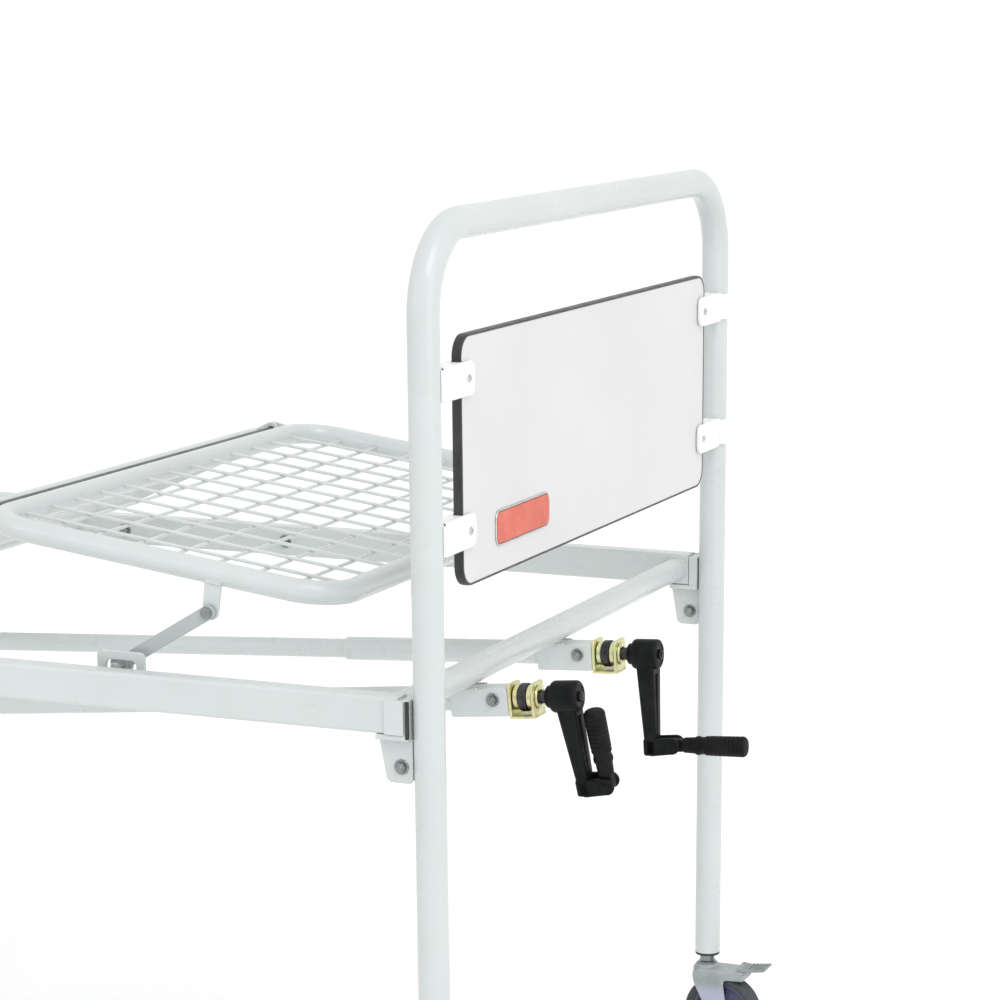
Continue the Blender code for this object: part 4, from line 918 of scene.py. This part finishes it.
    # grip
    H = A @ T(0.028, 0, -0.103) @ (I4 if fold else AX)
    prof = [(0.0, 0.0860), (0.0072, 0.0860), (0.0100, 0.0852), (0.0114, 0.0832)]
    for i in range(8):
        zz, r = 0.0800 - i * 0.0050, 0.01175 - i * 0.00007
        prof += [(r, zz + 0.0018), (r, zz - 0.0012), (r - 0.0006, zz - 0.0020), (r - 0.0006, zz - 0.0026)]
    prof += [(0.0112, 0.0398), (0.0099, 0.0370), (0.0098, 0.0332), (0.0107, 0.0312), (0.0107, 0.0280), (0.0102, 0.0268), (0.0093, 0.0250), (0.0087, 0.0130), (0.0080, 0.0120), (0.0, 0.0120)]
    g = Build().lathe(prof, H, 36)
    tongue = [(0.0062, 0.0180), (-0.0062, 0.0180)] + arc(0, 0, 0.0075, math.radians(180), math.radians(360), 18)
    g.plate([tongue], 0.0120, H @ xz(0), 0.0010)
    g.done(f"{prefix}_folding_grip", f"{prefix}_grip", GRIP, "grip_black", [f"{prefix}_crank_grip"], 34)


a_b, a_k = -BACK_SWING + BACK_REST, -KNEE_SWING + THIGH_REST
crank_unit("backrest", BACK_CRANK_Y, BACK_HUB, BACK_SLOPE, (BACK_X - BACK_LEVER * math.sin(a_b), DECK_Z - BACK_LEVER * math.cos(a_b)),
           pin_span(BACK_LEVER, -BACK_SWING, BACK_REST, 2 * BACK_SWING, -1, BACK_SLOPE), False)
crank_unit("knee", KNEE_CRANK_Y, KNEE_HUB, KNEE_SLOPE, (THIGH_X + KNEE_LEVER * math.sin(a_k), DECK_Z - KNEE_LEVER * math.cos(a_k)),
           pin_span(KNEE_LEVER, -KNEE_SWING, THIGH_REST, 2 * KNEE_SWING, 1, KNEE_SLOPE), True)


# ---------------------------------------------------------------------- castors
def castor(tag, x, y):
    C = T(x, y, 0)
    W = C @ T(TRAIL, 0, WHEEL_R) @ RX(math.radians(90))
    fork, wheel, pedal = f"castor_{tag}", f"wheel_{tag}", f"pedal_{tag}"
    # tyre
    tread = [(0.0385, -0.0095), (0.0400, -0.0112), (0.0440, -0.0120)] + \
        [(0.0440 + 0.0060 * math.sin(math.radians(90 * t / 7)), -0.0120 * math.cos(math.radians(90 * t / 7)) ** 0.55) for t in range(1, 7)]
    tread = tread + [(WHEEL_R, 0.0)] + [(r, -h) for r, h in tread[::-1]]
    t = Build().lathe(tread, W, 64)
    t.done(f"castor_tyre_{tag}", wheel, TYRE, "castor_tyre", [f"castor_wheel_{tag}"], 40)
    # hub with rim, web, ribs and bearing boss
    h = Build()
    h.lathe([(0.0058, -0.0132), (0.0105, -0.0132), (0.0118, -0.0122), (0.0122, -0.0070), (0.0160, -0.0052), (0.0330, -0.0046), (0.0345, -0.0086), (0.0362, -0.0096), (0.0388, -0.0096),
             (0.0388, 0.0096), (0.0362, 0.0096), (0.0345, 0.0086), (0.0330, 0.0046), (0.0160, 0.0052), (0.0122, 0.0070), (0.0118, 0.0122), (0.0105, 0.0132), (0.0058, 0.0132)], W, 48)
    for i in range(6):
        for sgn in (-1, 1):
            h.block((0.0110, -0.0011, 0.0040), (0.0352, 0.0011, 0.0084), 0.0006, 2, W @ RZ(math.tau * (i + 0.25) / 6) @ (I4 if sgn > 0 else RX(math.pi)))
    h.done(f"castor_hub_{tag}", wheel, HUB, "castor_housing", (), 40)
    # fork: two cheeks, a hood and the swivel head
    f = Build()
    side = [(-0.0135, 0.1080), (-0.0145, 0.1000), (-0.0125, 0.0900)] + \
        arc(TRAIL - 0.0010, 0.0500, 0.0122, math.radians(197), math.radians(335), 14) + \
        [(TRAIL + 0.0080, 0.0700), (TRAIL + 0.0050, 0.0900), (TRAIL + 0.0058, 0.0955), (TRAIL + 0.0090, 0.0975), (TRAIL + 0.0315, 0.0985), (TRAIL + 0.0325, 0.1010), (TRAIL + 0.0290, 0.1060)]
    for off in (-0.01625, 0.01625):
        f.plate([side], 0.0030, C @ xz(off), 0.0009)
    outline = arc(0.0, 0.0, 0.0178, math.radians(90), math.radians(270), 16) + [(TRAIL + 0.026, -0.0178), (TRAIL + 0.0325, -0.0120), (TRAIL + 0.0335, 0.0), (TRAIL + 0.0325, 0.0120), (TRAIL + 0.026, 0.0178)]
    f.plate([outline], 0.0058, C @ T(0, 0, 0.1072), 0.0022)
    f.lathe([(0, 0.1090), (0.0158, 0.1090), (0.0158, 0.1115), (0.0140, 0.1138), (0.0118, 0.1146), (0, 0.1146)], C, 40)
    f.block((TRAIL + 0.0290, -0.0165, 0.0985), (TRAIL + 0.0325, 0.0165, 0.1060), 0.0012, 3, C)
    f.done(f"castor_housing_{tag}", fork, HOUSING, "castor_housing", [f"castor_fork_{tag}"], 44)
    s_ = Build()
    s_.lathe([(0, 0.1142), (0.0112, 0.1142), (0.0112, 0.1166), (0.0100, 0.1174), (0.0092, 0.1180), (0.0092, 0.1290), (0, 0.1290)], C, 36)
    for s in (-1, 1):
        s_.hexa(C @ T(TRAIL, s * 0.0176, WHEEL_R) @ RX(math.radians(-90 * s)), 0.0115, 0.0042, 0.0082)
    s_.lathe([(0, -0.0165), (0.0050, -0.0165), (0.0050, 0.0165), (0, 0.0165)], W, 24)
    s_.done(f"castor_stem_and_axle_{tag}", fork, GREY_STEEL, "pin_steel")
    # pedal: a dished lever with a ribbed tread
    P = C @ T(TRAIL + 0.026, 0, 0.1130)
    p = Build()
    out = [(-0.0035, -0.0030), (0.0060, -0.0032), (0.0200, -0.0014), (0.0330, 0.0008), (0.0350, 0.0030), (0.0338, 0.0046), (0.0200, 0.0026), (0.0060, 0.0012), (-0.0035, 0.0026)]
    p.plate([out], 0.0290, P @ xz(0), 0.0009)
    for i in range(5):
        xx = 0.0120 + i * 0.0046
        zz = 0.0018 + (xx - 0.006) * 0.115
        p.lathe([(0, -0.0120), (0.0007, -0.0120), (0.0007, 0.0120), (0, 0.0120)], P @ T(xx, 0, zz) @ RX(math.radians(90)), 10)
    p.done(f"castor_brake_lever_{tag}", pedal, PEDAL, "pedal_black", [f"brake_pedal_{tag}"])


for end, xp, out in ENDS:
    for tag, s in SIDES:
        castor(f"{end}_{tag}", xp, s * POST_Y)


# --------------------------------------------------------- floor, light, camera
bm = bmesh.new()
bmesh.ops.create_grid(bm, x_segments=1, y_segments=1, size=1500.0)
me = bpy.data.meshes.new("floor")
bm.to_mesh(me)
bm.free()
floor = bpy.data.objects.new("floor", me)
bpy.context.scene.collection.objects.link(floor)
floor.location = (0, 0, -0.0002)
fm, fnt, fb = new_mat("floor_white", (0.93, 0.93, 0.93), 0.75)
floor.data.materials.append(fm)

world = bpy.data.worlds.new("studio")
bpy.context.scene.world = world
world.use_nodes = True
bg = world.node_tree.nodes["Background"]
bg.inputs["Color"].default_value = (1.0, 1.0, 1.0, 1)
bg.inputs["Strength"].default_value = 1.0


def area(name, loc, target, size, watts, color=(1, 1, 1)):
    li = bpy.data.lights.new(name, 'AREA')
    li.shape = 'RECTANGLE'
    li.size, li.size_y = size
    li.energy = watts
    li.color = color
    ob = bpy.data.objects.new(name, li)
    bpy.context.scene.collection.objects.link(ob)
    ob.location = loc
    ob.rotation_euler = (Vector(target) - Vector(loc)).to_track_quat('-Z', 'Y').to_euler()
    return ob


def sun(name, direction, strength, spread):
    li = bpy.data.lights.new(name, 'SUN')
    li.energy = strength
    li.angle = math.radians(spread)
    ob = bpy.data.objects.new(name, li)
    bpy.context.scene.collection.objects.link(ob)
    ob.rotation_euler = Vector(direction).to_track_quat('-Z', 'Y').to_euler()
    return ob


sun("key", (-0.55, 0.50, -1.0), 0.85, 35)
area("soft_right", (3.2, -1.2, 1.6), (0.6, 0, 0.6), (1.4, 2.2), 9)
area("soft_left", (-1.6, -3.0, 2.2), (0.2, 0, 0.6), (1.6, 1.6), 8)

cam_data = bpy.data.cameras.new("camera")
cam = bpy.data.objects.new("camera", cam_data)
bpy.context.scene.collection.objects.link(cam)
cam.location = (XF + 1.2116, -3.0512, 1.3068)
cam.rotation_euler = (math.radians(90 - 16.795), 0.0, math.radians(21.448))
cam_data.sensor_fit = 'HORIZONTAL'
cam_data.sensor_width = 36.0
cam_data.lens = 108.15
cam_data.shift_x = -0.09725
cam_data.shift_y = 0.39943
cam_data.clip_end = 4000
bpy.context.scene.camera = cam
bpy.context.scene.view_settings.view_transform = 'Standard'
bpy.context.scene.view_settings.look = 'None'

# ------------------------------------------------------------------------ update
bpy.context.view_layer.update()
